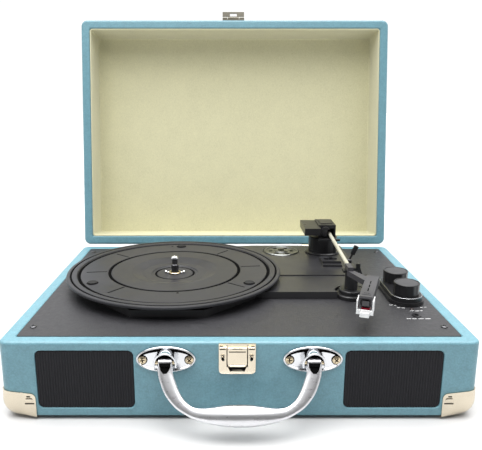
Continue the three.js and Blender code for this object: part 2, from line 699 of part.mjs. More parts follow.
function stylusGuard() {
  const half = SHELL.w / 2;
  const low = STYLUS_TIP - 1;
  const arms = [-1, 1].map((side) => {
    const inner = side * (half + GAP);
    const outer = side * (half + GAP + 0.9);
    return block(Math.min(inner, outer), Math.max(inner, outer), -3, 9, low + 3, SHELL.top - 2.5);
  });
  return alongShell(join(
    ...arms,
    block(-half - GAP - 0.9, half + GAP + 0.9, -3, -1.6, low + 1.5, low + 5),
    block(-half + 1.6, half - 1.6, -5, 0.5, low, low + 0.6),
    block(-half + 1.6, half - 1.6, -5, -4, low, low + 3.5),
    block(-half + 1.6, half - 1.6, -5, -2.5, low + 2.6, low + 3.5),
  ));
}

function restPost() {
  const { x, y, r, top } = REST;
  const low = RIM_Z + 0.2;
  const column = turned(x, y, [
    [0, low], [13.3, low], [13.3, low + 3], [12.6, low + 3.8], [10.6, low + 3.8], [10.6, low + 6.8],
    [10, low + 7.5], [r, low + 7.5], [r, top], [0, top],
  ], 24);
  return join(
    column,
    block(93, 106.4, y - 3.5, y + 3.5, top - 2.2, top),
    block(101, 104.4, y - 3.5, y + 3.5, top - 1, CLIP.z - 2),
    block(103.8, 107.4, y - 3.5, y - 1.8, top - 2.2, CLIP.z + 1.8),
  );
}

// The clip hangs open on the outer side of the rest; turned over, its lip comes down past the tube.
function restClip() {
  const { x, z, length, open } = CLIP;
  const hook = join(
    block(0, length, -1.2, 3.4, -0.7, 0.9),
    block(length - 1.2, length, -1.2, 3.4, -0.7, 5),
    peg(0, -1.2, 3.4, 0.2, 1.2, 16),
  );
  return hook.rotateY(THREE.MathUtils.degToRad(open)).translate(x, REST.y, z);
}

function cueLever() {
  const lean = THREE.MathUtils.degToRad(25);
  const hub = rod(-2.5, 2.5, 0, 0, 2.4, 20);
  const stem = post(0, 0, 1.1, 1, 9, 12).rotateY(lean);
  const blade = block(-2.1, 2.1, -1.4, 1.4, 8, 17.5).rotateY(lean);
  return join(hub, stem, blade).translate(CUE.x, CUE.y, CUE.z);
}

function liftBar() {
  const { x, y, top } = LIFT;
  return join(
    post(x, y, 1.8, PLATE_TOP + 5, top - 1, 20),
    block(x - 17, x + 5, y - 1.4, y + 1.4, top - 1.8, top),
    rod(x - 17, x + 5, y, top - 1, 1, 12),
  );
}

function speedHousing() {
  const { x, y, w, d, h } = SPEED;
  const low = PLATE_TOP + 0.2;
  const body = join(
    block(x - w / 2, x + w / 2, y - d / 2 + 5, y + d / 2, low, low + h),
    block(x - w / 2, x + w / 2, y - d / 2, y + d / 2, low, low + 1.8),
  );
  return cut(body, block(x - 6.8, x + 6.8, y - 0.5, y + 4.5, low + 1, low + h + 1));
}

function speedKnob() {
  const { x, y, h } = SPEED;
  const low = PLATE_TOP + 0.2;
  return block(x - 1.6, x + 1.6, y + 0.2, y + 3.8, low + 1.4, low + h + 2);
}

function addTonearm() {
  add("tonearm_turret", turret(), MATERIALS.blackPlastic);
  add("pivot_head", pivotHead(), MATERIALS.blackPlastic);
  add("arm_tube", armTube(), MATERIALS.creamPlastic);
  add("headshell", headshell(), MATERIALS.greyPlastic);
  add("cartridge", cartridge(), MATERIALS.greyPlastic);
  add("stylus", stylus(), MATERIALS.redPlastic);
  add("stylus_guard", stylusGuard(), MATERIALS.whitePlastic);
  add("arm_rest", restPost(), MATERIALS.blackPlastic);
  add("rest_clip", restClip(), MATERIALS.blackPlastic);
  add("cue_lever", cueLever(), MATERIALS.blackPlastic);
  add("lift_bar", liftBar(), MATERIALS.blackPlastic);
  add("speed_housing", speedHousing(), MATERIALS.deck);
  add("speed_switch", speedKnob(), MATERIALS.blackPlastic);
}

// ---- knobs, headphone socket and lamp -----------------------------------------------------

function stadium(r) {
  const shape = new THREE.Shape();
  shape.absarc(KNOB.x, KNOB.front, r, Math.PI, 2 * Math.PI);
  shape.absarc(KNOB.x, KNOB.rear, r, 0, Math.PI);
  shape.closePath();
  return shape;
}

function plinth() {
  const low = RIM_Z + 0.2;
  const body = join(
    slab(stadium(PLINTH.r + PLINTH.skirt), low, low + 3, 10),
    slab(stadium(PLINTH.r), low + 2, PLINTH.top, 10),
  );
  return cut(
    body,
    post(KNOB.x, KNOB.front, 3.4, low - 1, PLINTH.top + 1, 20),
    post(KNOB.x, KNOB.rear, 3.4, low - 1, PLINTH.top + 1, 20),
  );
}

function knob(y) {
  const low = PLINTH.top + GAP;
  const high = low + KNOB.h;
  return turned(KNOB.x, y, [
    [0, RIM_Z - 7], [2.9, RIM_Z - 7], [2.9, low], [KNOB.r - 0.6, low], [KNOB.r, high - 0.8],
    [KNOB.r - 0.8, high], [0, high],
  ], 40);
}

function addControls() {
  const socket = [
    [0, RIM_Z - 15], [3.2, RIM_Z - 15], [3.2, RIM_Z + 0.1], [3.9, RIM_Z + 0.1], [3.9, RIM_Z + 0.6],
    [1.8, RIM_Z + 0.6], [1.8, RIM_Z - 13], [0, RIM_Z - 13],
  ];
  const lens = [[0, RIM_Z - 5], [LED.r, RIM_Z - 5], [LED.r, RIM_Z + 0.3], [0.9, RIM_Z + 1], [0, RIM_Z + 1.1]];
  add("control_plinth", plinth(), MATERIALS.blackPlastic);
  add("volume_knob", knob(KNOB.front), MATERIALS.blackPlastic);
  add("mode_knob", knob(KNOB.rear), MATERIALS.blackPlastic);
  add("headphone_socket", turned(JACK.x, JACK.y, socket, 16), MATERIALS.blackPlastic);
  add("power_lamp", turned(LED.x, LED.y, lens, 16), MATERIALS.lens);
}

// ---- lid, hinges and hasp -----------------------------------------------------------------
// The lid is drawn closed, then its group turns back about the hinge pins.

const RIM_LID = RIM_Z + LID_GAP;

function lidShell() {
  const depth = LID_H - LID_BOARD;
  return cut(
    casePlan(0, CORNER_R, RIM_LID, RIM_LID + LID_H),
    casePlan(LID_WALL, 3, RIM_LID - 1, RIM_LID + depth),
  );
}

function lidLining() {
  const high = RIM_LID + LID_DEPTH + LINING;
  const low = RIM_LID + 0.5;
  return cut(
    casePlan(LID_WALL + 0.2, 3, low, high),
    casePlan(LID_WALL + 0.2 + LINING, 2.4, low - 1, RIM_LID + LID_DEPTH),
  );
}

function hingeLeaf(side, onLid) {
  const { y, z, r, width } = HINGE;
  const half = width / 2;
  const reach = onLid ? [z + 2.4, z + 16] : [z - 16, z - 2.4];
  const leaf = block(-half, half, CASE_D + 0.1, CASE_D + 1.1, ...reach);
  const barrels = onLid ? [[-half, -5.3], [5.3, half]] : [[-5, 5]];
  const pieces = [leaf];
  for (const [x0, x1] of barrels) {
    pieces.push(rod(x0, x1, y, z, r, 20));
    const web = onLid ? [z, z + 3] : [z - 3, z];
    pieces.push(block(x0, x1, CASE_D + 0.3, CASE_D + 1.3, ...web));
  }
  const pin = rod(-half, half, y, z, 0.8, 12);
  const whole = join(...pieces);
  const result = onLid ? cut(whole, rod(-half - 1, half + 1, y, z, 1.1, 12)) : join(whole, pin);
  return result.translate(side * HINGE.x, 0, 0);
}

function haspMount() {
  const { w, z, y } = HASP;
  return join(
    block(LATCH.x - w / 2, LATCH.x + w / 2, -1.2, -0.1, z - 3.6, z + 9),
    rod(LATCH.x - w / 2, LATCH.x - 7, y, z, 1.2, 16),
    rod(LATCH.x + 7, LATCH.x + w / 2, y, z, 1.2, 16),
    block(LATCH.x - w / 2, LATCH.x - 7, y, -0.6, z - 0.8, z + 0.8),
    block(LATCH.x + 7, LATCH.x + w / 2, y, -0.6, z - 0.8, z + 0.8),
  );
}

function hasp() {
  const { w, z, y, length, t } = HASP;
  const flap = join(
    block(-w / 2, w / 2, y - length, y - 1.7, z - t / 2, z + t / 2),
    block(-6.6, 6.6, y - 2, y, z - t / 2, z + t / 2),
    rod(-6.6, 6.6, y, z, 1.1, 16),
  );
  const window = block(-4, 4, y - length + 2, y - 2, z - 2, z + 2);
  return cut(flap, window).translate(LATCH.x, 0, 0);
}

function addLid() {
  const lid = new THREE.Group();
  lid.position.set(0, HINGE.y, HINGE.z);
  lid.rotation.x = -LID_OPEN;
  player.add(lid);
  const pieces = [
    ["lid_shell", lidShell(), MATERIALS.leatherette],
    ["lid_lining", lidLining(), MATERIALS.lining],
    ["hinge_lid_leaf_left", hingeLeaf(-1, true), MATERIALS.nickel],
    ["hinge_lid_leaf_right", hingeLeaf(1, true), MATERIALS.nickel],
    ["hasp_mount", haspMount(), MATERIALS.nickel],
    ["hasp", hasp(), MATERIALS.nickel],
  ];
  for (const [name, geometry, look] of pieces) {
    add(name, geometry.translate(0, -HINGE.y, -HINGE.z), look, lid);
  }
  add("hinge_base_leaf_left", hingeLeaf(-1, false), MATERIALS.nickel);
  add("hinge_base_leaf_right", hingeLeaf(1, false), MATERIALS.nickel);
}

// ---- the whole player, standing on its feet and centred in plan ----------------------------

addCase();
addElectronics();
addFront();
addDrive();
addTonearm();
addControls();
addLid();

const bounds = new THREE.Box3().setFromObject(player, true);
const centre = bounds.getCenter(new THREE.Vector3());
player.position.set(-centre.x, -centre.y, -bounds.min.z);
player.updateMatrixWorld(true);

export default player;
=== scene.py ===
"""The looks of a portable suitcase record player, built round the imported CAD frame.

Pieces are drawn in millimetres in the case's own frame: x from the case's middle, y back from
its front panel, z up from the table. What belongs to the lid is drawn as if the lid were shut.
"""
import json
import math
import bmesh
import bpy
from mathutils import Matrix, Vector


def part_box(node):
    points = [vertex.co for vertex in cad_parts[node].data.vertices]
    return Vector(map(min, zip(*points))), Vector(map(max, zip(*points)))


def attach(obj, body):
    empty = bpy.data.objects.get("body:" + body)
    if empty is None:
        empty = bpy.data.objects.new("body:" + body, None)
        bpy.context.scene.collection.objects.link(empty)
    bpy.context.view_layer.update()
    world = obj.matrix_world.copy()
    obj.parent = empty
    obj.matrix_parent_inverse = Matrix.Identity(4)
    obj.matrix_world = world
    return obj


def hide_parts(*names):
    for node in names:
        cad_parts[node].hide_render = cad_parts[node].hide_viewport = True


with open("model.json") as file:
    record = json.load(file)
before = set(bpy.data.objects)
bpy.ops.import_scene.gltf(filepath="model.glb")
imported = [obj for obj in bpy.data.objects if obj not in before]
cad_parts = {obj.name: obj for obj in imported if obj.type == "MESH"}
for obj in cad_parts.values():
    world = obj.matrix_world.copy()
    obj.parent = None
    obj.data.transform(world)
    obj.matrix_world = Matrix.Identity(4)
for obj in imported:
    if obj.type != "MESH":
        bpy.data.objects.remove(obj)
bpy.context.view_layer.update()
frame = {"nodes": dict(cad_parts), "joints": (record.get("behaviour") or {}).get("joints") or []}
NODES = frame["nodes"]
MM = 0.001


# ---- the case's frame ---------------------------------------------------------------------

SHELL_LOW, SHELL_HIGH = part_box("base_shell")
WIDTH = (SHELL_HIGH.x - SHELL_LOW.x) / MM
DEPTH = (SHELL_HIGH.y - SHELL_LOW.y) / MM
FOOT = SHELL_LOW.z / MM
RIM = SHELL_HIGH.z / MM
CASE = Matrix.Translation((0, SHELL_LOW.y, 0)) @ Matrix.Scale(MM, 4)
BOTH = ((-1, "left"), (1, "right"))


def turn(degrees, axis):
    return Matrix.Rotation(math.radians(degrees), 4, axis)


def shift(x=0.0, y=0.0, z=0.0):
    return Matrix.Translation((x, y, z))


def joint(name):
    return next(j for j in frame["joints"] if j["name"] == name)


def in_case(point):
    """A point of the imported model, in metres, as millimetres in the case's frame."""
    return CASE.inverted() @ Vector(point)


HINGE = in_case(joint("lid_hinge")["pos_m"])
LID_OPEN = math.radians(joint("lid_hinge")["range_deg"][1])
LID = CASE @ Matrix.Translation(HINGE) @ Matrix.Rotation(-LID_OPEN, 4, "X") @ Matrix.Translation(-HINGE)


def case_box(node):
    """A CAD node's lowest and highest corners, in the case's frame."""
    low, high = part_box(node)
    return in_case(low), in_case(high)


# ---- materials ----------------------------------------------------------------------------

class Look:
    """A material and its node tree, with short calls for the nodes that these looks use."""

    def __init__(self, name, color, roughness, metallic=0.0, **sockets):
        self.material = bpy.data.materials.new(name)
        self.material.use_nodes = True
        self.nodes = self.material.node_tree.nodes
        self.links = self.material.node_tree.links
        self.shader = self.nodes["Principled BSDF"]
        self.set(self.shader, {"Base Color": (*color, 1), "Roughness": roughness, "Metallic": metallic})
        self.set(self.shader, sockets)
        self.place = self.nodes.new("ShaderNodeTexCoord").outputs["Object"]
        self.bump_input = None

    @staticmethod
    def set(node, values):
        """Sets sockets by name; the case of the letters and underscores for spaces don't matter."""
        found = {socket.name.lower().replace(" ", "_"): socket for socket in reversed(node.inputs)}
        for key, value in values.items():
            found[key.lower().replace(" ", "_")].default_value = value

    def stretched(self, scale):
        """The object's coordinates, scaled along x, y and z."""
        mapping = self.nodes.new("ShaderNodeMapping")
        mapping.inputs["Scale"].default_value = scale
        self.links.new(self.place, mapping.inputs["Vector"])
        return mapping.outputs["Vector"]

    def noise(self, scale, detail=4.0, roughness=0.5, vector=None):
        node = self.nodes.new("ShaderNodeTexNoise")
        self.set(node, {"Scale": scale, "Detail": detail, "Roughness": roughness})
        self.links.new(vector or self.place, node.inputs["Vector"])
        return node.outputs["Fac"]

    def cells(self, scale):
        node = self.nodes.new("ShaderNodeTexVoronoi")
        self.set(node, {"Scale": scale})
        self.links.new(self.place, node.inputs["Vector"])
        return node.outputs["Distance"]

    def mapped(self, value, low, high, to_low, to_high):
        node = self.nodes.new("ShaderNodeMapRange")
        self.set(node, {"From Min": low, "From Max": high, "To Min": to_low, "To Max": to_high})
        self.links.new(value, node.inputs["Value"])
        return node.outputs["Result"]

    def added(self, a, b):
        node = self.nodes.new("ShaderNodeMath")
        node.operation = "ADD"
        self.links.new(a, node.inputs[0])
        self.links.new(b, node.inputs[1])
        return node.outputs[0]

    def tint(self, value, *stops):
        """Base colour from a value between 0 and 1, through (place, colour) stops."""
        ramp = self.nodes.new("ShaderNodeValToRGB")
        elements = ramp.color_ramp.elements
        while len(elements) < len(stops):
            elements.new(0.5)
        for element, (at, color) in zip(elements, stops):
            element.position = at
            element.color = (*color, 1)
        self.links.new(value, ramp.inputs["Fac"])
        self.links.new(ramp.outputs["Color"], self.shader.inputs["Base Color"])
        return self

    def rough(self, value):
        self.links.new(value, self.shader.inputs["Roughness"])
        return self

    def bump(self, height, strength, distance_mm):
        node = self.nodes.new("ShaderNodeBump")
        self.set(node, {"Strength": strength, "Distance": distance_mm * MM})
        self.links.new(height, node.inputs["Height"])
        if self.bump_input is not None:
            self.links.new(self.bump_input, node.inputs["Normal"])
        self.bump_input = node.outputs["Normal"]
        self.links.new(self.bump_input, self.shader.inputs["Normal"])
        return self


NOISE = (0.3, 0.7)  # the range that most values of a noise texture lie in


def shade(color, factor):
    return tuple(min(1.0, c * factor) for c in color)


def grained_cover(name, color, roughness, grain, depth_mm):
    """Embossed leathercloth: small rounded cells of uneven size, with slow changes of colour."""
    look = Look(name, color, roughness, coat_weight=0.12, coat_roughness=0.4)
    patches = look.noise(170, 4, 0.6)
    pores = look.cells(grain)
    creases = look.noise(grain * 0.45, 5, 0.6)
    look.tint(look.added(look.mapped(patches, *NOISE, 0, 0.4), look.mapped(pores, 0, 0.9, 0.6, 0)),
              (0.0, shade(color, 0.82)), (0.5, color), (1.0, shade(color, 1.2)))
    look.rough(look.mapped(creases, *NOISE, roughness - 0.07, roughness + 0.09))
    look.bump(creases, 0.35, depth_mm * 1.6).bump(pores, 0.5, depth_mm)
    return look.material


def felted_lining():
    """Cream paper-backed cloth: fine fibres over a slightly mottled ground."""
    color = (0.52, 0.50, 0.325)
    look = Look("lining_cloth", color, 0.92, sheen_weight=0.25, sheen_roughness=0.6)
    fibres = look.noise(900, 6, 0.75, look.stretched((1, 1, 0.6)))
    mottle = look.noise(55, 4, 0.6)
    look.tint(look.added(look.mapped(fibres, *NOISE, 0, 0.8), look.mapped(mottle, *NOISE, 0, 0.2)),
              (0.0, shade(color, 0.84)), (0.5, color), (1.0, shade(color, 1.12)))
    look.bump(fibres, 0.6, 0.2)
    return look.material


def moulded(name, color, roughness, grain=900.0, depth_mm=0.05, **sockets):
    """Moulded plastic with a fine spark-eroded texture and faint flow marks."""
    look = Look(name, color, roughness, **sockets)
    texture = look.noise(grain, 3, 0.6)
    flow = look.noise(36, 2)
    look.tint(look.mapped(flow, *NOISE, 0, 1), (0.0, shade(color, 0.88)), (1.0, shade(color, 1.14)))
    look.rough(look.mapped(flow, *NOISE, roughness - 0.04, roughness + 0.06))
    look.bump(texture, 0.4, depth_mm)
    return look.material


def plated(name, color, roughness, worn=0.05):
    """Plated pressed metal: soft unevenness of the pressing and fine handling marks."""
    look = Look(name, color, roughness, 1.0)
    pressing = look.noise(45, 2)
    marks = look.noise(500, 3, 0.6, look.stretched((0.25, 1, 1)))
    look.tint(look.mapped(pressing, *NOISE, 0, 1), (0.0, shade(color, 0.9)), (1.0, shade(color, 1.05)))
    look.rough(look.mapped(marks, 0.35, 0.75, roughness, roughness + worn))
    look.bump(pressing, 0.1, 0.3)
    return look.material


def ribbed_cloth():
    """Black grille cloth woven in fine upright ribs."""
    color = (0.008, 0.008, 0.010)
    look = Look("grille_cloth", color, 0.8, specular_ior_level=0.3)
    threads = look.noise(1300, 3, 0.6, look.stretched((1, 1, 2.4)))
    look.tint(look.mapped(threads, *NOISE, 0, 1), (0.0, shade(color, 0.55)), (1.0, shade(color, 1.9)))
    look.bump(threads, 0.6, 0.15)
    return look.material


def hardboard():
    """Brown pressed fibreboard with a faint lengthwise grain."""
    color = (0.30, 0.20, 0.12)
    look = Look("hardboard", color, 0.75)
    fibre = look.noise(420, 6, 0.7, look.stretched((1, 0.3, 1)))
    look.tint(fibre, (0.3, shade(color, 0.75)), (0.7, shade(color, 1.2)))
    look.bump(fibre, 0.3, 0.1)
    return look.material


TEAL = (0.106, 0.232, 0.278)
M = {
    "leatherette": grained_cover("teal_leathercloth", TEAL, 0.42, 760, 0.11),
    "lining": felted_lining(),
    "fibreboard": hardboard(),
    "deck": grained_cover("black_leathercloth", (0.0145, 0.0143, 0.0165), 0.5, 620, 0.14),
    "mechanism": moulded("black_textured_plastic", (0.019, 0.019, 0.021), 0.33, 1100, 0.05),
    "platter": moulded("platter_plastic", (0.026, 0.026, 0.029), 0.4, 700, 0.03, specular_ior_level=0.24),
    "rubber": moulded("soft_rubber", (0.012, 0.012, 0.012), 0.75, specular_ior_level=0.25),
    "speaker": moulded("paper_cone", (0.02, 0.02, 0.02), 0.8),
    "cloth": ribbed_cloth(),
    "chrome": plated("bright_chrome", (0.66, 0.67, 0.69), 0.1),
    "handle_chrome": plated("satin_chrome", (0.70, 0.70, 0.72), 0.27),
    # painted shade: the warm nickel's colour darkened to about a quarter, for the hasp and its mount
    "dull_nickel": plated("dull_nickel", (0.15, 0.14, 0.115), 0.3, 0.1),
    "nickel": plated("warm_nickel", (0.66, 0.59, 0.47), 0.2, 0.08),
    "steel": plated("zinc_steel", (0.6, 0.61, 0.62), 0.35),
    "adapter": plated("satin_alloy", (0.20, 0.205, 0.20), 0.34),
    "black_plastic": moulded("black_plastic", (0.010, 0.010, 0.011), 0.3, 800, 0.03, specular_ior_level=0.4),
    "arm_cream": moulded("cream_enamel", (0.33, 0.32, 0.26), 0.28, 300, 0.01),
    "shell_grey": moulded("grey_plastic", (0.038, 0.037, 0.041), 0.45, 900, 0.06),
    "stylus_red": moulded("red_plastic", (0.26, 0.010, 0.025), 0.3),
    "guard_white": moulded("white_plastic", (0.62, 0.62, 0.62), 0.35),
    "circuit_board": moulded("green_board", (0.02, 0.14, 0.06), 0.5),
    "lamp_lens": moulded("lamp_lens", (0.02, 0.012, 0.012), 0.12),
    "print": moulded("white_print", (0.42, 0.42, 0.42), 0.6),
    "brass": plated("brass", (0.62, 0.52, 0.36), 0.22),
    # painted shade: a flat near-black that stands for the shade in gaps, slots, grooves and recesses
    "dark_gap": moulded("dark_gap", (0.003, 0.003, 0.003), 0.9, specular_ior_level=0.02),
    "black_screw": plated("black_oxide", (0.10, 0.10, 0.105), 0.3),
    "knob_top": moulded("knob_top", (0.024, 0.024, 0.026), 0.4, 500, 0.02),
}


# ---- building pieces ----------------------------------------------------------------------

def ring(bm, points):
    return [bm.verts.new(p) for p in points]


def bridge(bm, lower, upper):
    """Faces between two rings of as many points; the rings run counter-clockwise seen from above."""
    count = len(lower)
    for i in range(count):
        j = (i + 1) % count
        bm.faces.new((lower[i], lower[j], upper[j], upper[i]))


def rounded(w, h, r, steps=8, cx=0.0, cy=0.0):
    """The points of a rounded rectangle, counter-clockwise."""
    r = max(r, 0.01)
    points = []
    for quarter in range(4):
        sx = 1 if quarter in (0, 3) else -1
        sy = 1 if quarter in (0, 1) else -1
        for k in range(steps + 1):
            a = math.radians(90 * quarter + 90 * k / steps)
            x = sx * (w / 2 - r) + r * math.cos(a)
            y = sy * (h / 2 - r) + r * math.sin(a)
            points.append((cx + x, cy + y))
    return points


def stack(outlines, closed=False):
    """A mesh through a pile of outlines, each [(x, y), ...] and its z. closed joins last to first."""
    bm = bmesh.new()
    rings = [ring(bm, [(x, y, z) for x, y in outline]) for outline, z in outlines]
    for lower, upper in zip(rings, rings[1:]):
        bridge(bm, lower, upper)
    if closed:
        bridge(bm, rings[-1], rings[0])
    else:
        bm.faces.new(list(reversed(rings[0])))
        bm.faces.new(rings[-1])
    bmesh.ops.recalc_face_normals(bm, faces=bm.faces)
    return bm


def lathe(profile, sides=64, x=0.0, y=0.0):
    """A solid of revolution about the vertical through (x, y), from [radius, z] points.
    The profile starts and ends on the axis, or else it closes on itself."""
    bm = bmesh.new()
    rows = []
    for r, z in profile:
        if r < 1e-6:
            rows.append([bm.verts.new((x, y, z))])
            continue
        turns = [2 * math.pi * k / sides for k in range(sides)]
        rows.append([bm.verts.new((x + r * math.cos(a), y + r * math.sin(a), z)) for a in turns])
    closed = len(rows[0]) > 1
    pairs = list(zip(rows, rows[1:])) + ([(rows[-1], rows[0])] if closed else [])
    for a, b in pairs:
        for i in range(sides):
            j = (i + 1) % sides
            corners = [a[i % len(a)], a[j % len(a)], b[j % len(b)], b[i % len(b)]]
            corners = [v for k, v in enumerate(corners) if v not in corners[:k]]
            if len(corners) > 2:
                bm.faces.new(corners)
    bmesh.ops.recalc_face_normals(bm, faces=bm.faces)
    return bm


def arc(cx, cy, r, start, end, steps=4):
    """Points on an arc, angles in degrees."""
    turns = [math.radians(start + (end - start) * k / steps) for k in range(steps + 1)]
    return [(cx + r * math.cos(a), cy + r * math.sin(a)) for a in turns]


def block(x0, x1, y0, y1, z0, z1):
    bm = bmesh.new()
    bmesh.ops.create_cube(bm, size=1)
    size = Matrix.Diagonal((x1 - x0, y1 - y0, z1 - z0, 1))
    middle = Matrix.Translation(((x0 + x1) / 2, (y0 + y1) / 2, (z0 + z1) / 2))
    bm.transform(middle @ size)
    return bm


def prism(outline, y0, y1):
    """An outline seen from the front, [(x, z), ...] counter-clockwise, from y0 back to y1."""
    bm = bmesh.new()
    front = ring(bm, [(x, y0, z) for x, z in outline])
    back = ring(bm, [(x, y1, z) for x, z in outline])
    bridge(bm, front, back)
    bm.faces.new(front)
    bm.faces.new(list(reversed(back)))
    bmesh.ops.recalc_face_normals(bm, faces=bm.faces)
    return bm


def merged(*parts):
    """Several loose meshes as one, each kept whole."""
    whole = bmesh.new()
    for part in parts:
        mesh = bpy.data.meshes.new("part")
        part.to_mesh(mesh)
        whole.from_mesh(mesh)
        bpy.data.meshes.remove(mesh)
        part.free()
    return whole


def moved(bm, matrix):
    bm.transform(matrix)
    return bm


def turned(bm, degrees, axis):
    return moved(bm, turn(degrees, axis))


def cut(bm, *tools):
    """bm with the tools cut out of it."""
    result = loose_object("cut_body", bm)
    for tool in tools:
        cutter = loose_object("cut_tool", tool)
        step = result.modifiers.new("cut", "BOOLEAN")
        step.operation = "DIFFERENCE"
        step.solver = "EXACT"
        step.object = cutter
    bpy.context.view_layer.update()
    evaluated = result.evaluated_get(bpy.context.evaluated_depsgraph_get())
    out = bmesh.new()
    out.from_mesh(evaluated.to_mesh())
    evaluated.to_mesh_clear()
    for step in result.modifiers:
        bpy.data.objects.remove(step.object)
    bpy.data.objects.remove(result)
    return out


def loose_object(name, bm):
    mesh = bpy.data.meshes.new(name)
    bm.to_mesh(mesh)
    bm.free()
    made = bpy.data.objects.new(name, mesh)
    bpy.context.scene.collection.objects.link(made)
    return made


SHARP = 32  # degrees; edges sharper than this stay sharp, or are rounded


def soften(obj, width_mm, angle):
    """Rounded edges, and smooth shading that keeps the flats flat."""
    obj.data.shade_smooth()
    obj.data.set_sharp_from_angle(angle=math.radians(angle))
    if width_mm > 0:
        flat = obj.modifiers.new("join_flats", "DECIMATE")
        flat.decimate_type = "DISSOLVE"
        flat.angle_limit = math.radians(1)
        edge = obj.modifiers.new("edges", "BEVEL")
        edge.width = width_mm * MM
        edge.segments = 3
        edge.limit_method = "ANGLE"
        edge.angle_limit = math.radians(angle)
        edge.use_clamp_overlap = True
        edge.harden_normals = True
    weighted = obj.modifiers.new("normals", "WEIGHTED_NORMAL")
    weighted.keep_sharp = True


def piece(name, bm, look, body, replaces=(), edge_mm=0.0, place=CASE, angle=SHARP):
    """A finished piece of the object, drawn in millimetres and placed by a matrix."""
    bm.transform(place)
    bmesh.ops.recalc_face_normals(bm, faces=bm.faces)
    obj = loose_object(name, bm)
    obj.data.materials.append(M[look])
    soften(obj, edge_mm, angle)
    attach(obj, body)
    if replaces:
        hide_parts(*replaces)


def middle(node):
    low, high = case_box(node)
    return (low + high) / 2


def dress(look, edge_mm, *names):
    """Gives CAD nodes whose shape is right their material and softened edges."""
    for name in names:
        obj = NODES[name]
        obj.data.materials.clear()
        obj.data.materials.append(M[look])
        soften(obj, edge_mm, SHARP)


def cross(half_length, half_width, z0, z1):
    """The two bars of a cross-head screw's recess."""
    bars = [block(-half_length, half_length, -half_width, half_width, z0, z1) for _ in range(2)]
    turned(bars[1], 90, "Z")
    return bars


def screw(name, place, body, look, r, height):
    """A domed cross-head screw whose recess has a floor of painted shade, drawn standing on z = 0 and then
    placed.
    """
    dome_r = 1.9 * r
    dome = arc(0, height - dome_r, dome_r, 90 - math.degrees(math.asin(r / dome_r)), 90, 6)
    head = lathe([(0, -0.2), (r, -0.2), (r, dome[0][1] * 0.6), *dome[:-1], (0, height)], 28)
    # painted shade: a dark cross on the floor of the recess
    floor = cross(r * 0.6, r * 0.12, height - r * 0.36, height - r * 0.3)
    piece(f"{name}_recess", merged(*floor), "dark_gap", body, place=place)
    bars = cross(r * 0.62, r * 0.13, height - r * 0.32, height + 1)
    piece(name, cut(head, *bars), look, body, edge_mm=0.06, place=place)


def insert(x0, x1, face, z0, z1, proud=0.05):
    """A strip of painted shade let into a front face, which stands for the shade in a slot or a gap."""
    return block(x0, x1, face - proud, face + 0.3, z0, z1)


def around(centre, angle, orbit):
    """The point at an angle in degrees and a distance from a centre."""
    a = math.radians(angle)
    return centre.x + orbit * math.cos(a), centre.y + orbit * math.sin(a)


# ---- the base of the case -----------------------------------------------------------------

CORNER = 7.0  # radius of the case's corners, seen from above
RIM_WIDTH = 10.5  # the edge round the deck
WALL = 14.0  # thickness of the sides
BOARD = 3.0  # thickness of the deck and the bottom
BALL = (12.0, 5.0, 12.0)  # rounding of a bottom corner: across, front to back and up
GUARD_REACH = 28.0  # how far in, and how far up, the case is cut to seat a guard
GUARD_TOP = 23.0


def case_ring(inset, z, least=2.0):
    return rounded(WIDTH - 2 * inset, DEPTH - 2 * inset, max(CORNER - inset, least), 8, 0, DEPTH / 2), z


def wrapped_edge(inset, z, r, start, end, steps=5):
    """Rings of the case's plan round an edge of radius r; angles run as in the wall's section."""
    return [case_ring(x, height) for x, height in arc(inset, z, r, start, end, steps)]


def grille_outline(name, extra):
    """A grille's outline seen from the front, grown by extra."""
    low, high = case_box(f"grille_{name}")
    w, h = high.x - low.x, high.z - low.z
    return rounded(w + 2 * extra, h + 2 * extra, 4 + extra, 8, (low.x + high.x) / 2, (low.z + high.z) / 2)


def window_cutter(name):
    """The speaker window: its mouth is rounded over, as the covering turns in round the wood."""
    steps = [(-3, WALL + 1), (-3, 2.6), (0.25, 2.5), (0.25, 1.1), (0.3, 0.45), (0.62, 0.12), (1.1, -0.001),
             (1.1, -1.0)]
    return turned(stack([(grille_outline(name, extra), -y) for extra, y in steps]), 90, "X")


def to_corner(bm, side_x, side_y):
    """Mirrors what is drawn at the right front corner to another corner of the case."""
    bm.transform(Matrix.Diagonal((side_x, 1, 1, 1)))
    if side_y > 0:
        bm.transform(shift(y=DEPTH) @ Matrix.Diagonal((1, -1, 1, 1)))


def corner_waste(side_x, side_y):
    """What the rounding of a bottom corner takes off the case where a guard fits over it."""
    across, deep, up = BALL
    right, inner, top = WIDTH / 2, WIDTH / 2 - GUARD_REACH, FOOT + GUARD_TOP
    rounding = bmesh.new()
    bmesh.ops.create_icosphere(rounding, subdivisions=4, radius=1)
    rounding.transform(shift(right - across, deep, FOOT + up) @ Matrix.Diagonal((*BALL, 1)))
    for z in (FOOT, top):
        for x, y in ((inner, 0), (right, GUARD_REACH), (inner, GUARD_REACH)):
            rounding.verts.new((x, y, z))
    for x, y in arc(right - CORNER, CORNER, CORNER, -90, 0, 12):
        rounding.verts.new((x, y, top))
    hull = bmesh.ops.convex_hull(rounding, input=rounding.verts)
    bmesh.ops.delete(rounding, geom=hull["geom_interior"] + hull["geom_unused"], context="VERTS")
    waste = cut(block(inner + 1, right + 2, -2, GUARD_REACH - 1, FOOT - 1, top - 0.5), rounding)
    to_corner(waste, side_x, side_y)
    bmesh.ops.recalc_face_normals(waste, faces=waste.faces)
    return waste


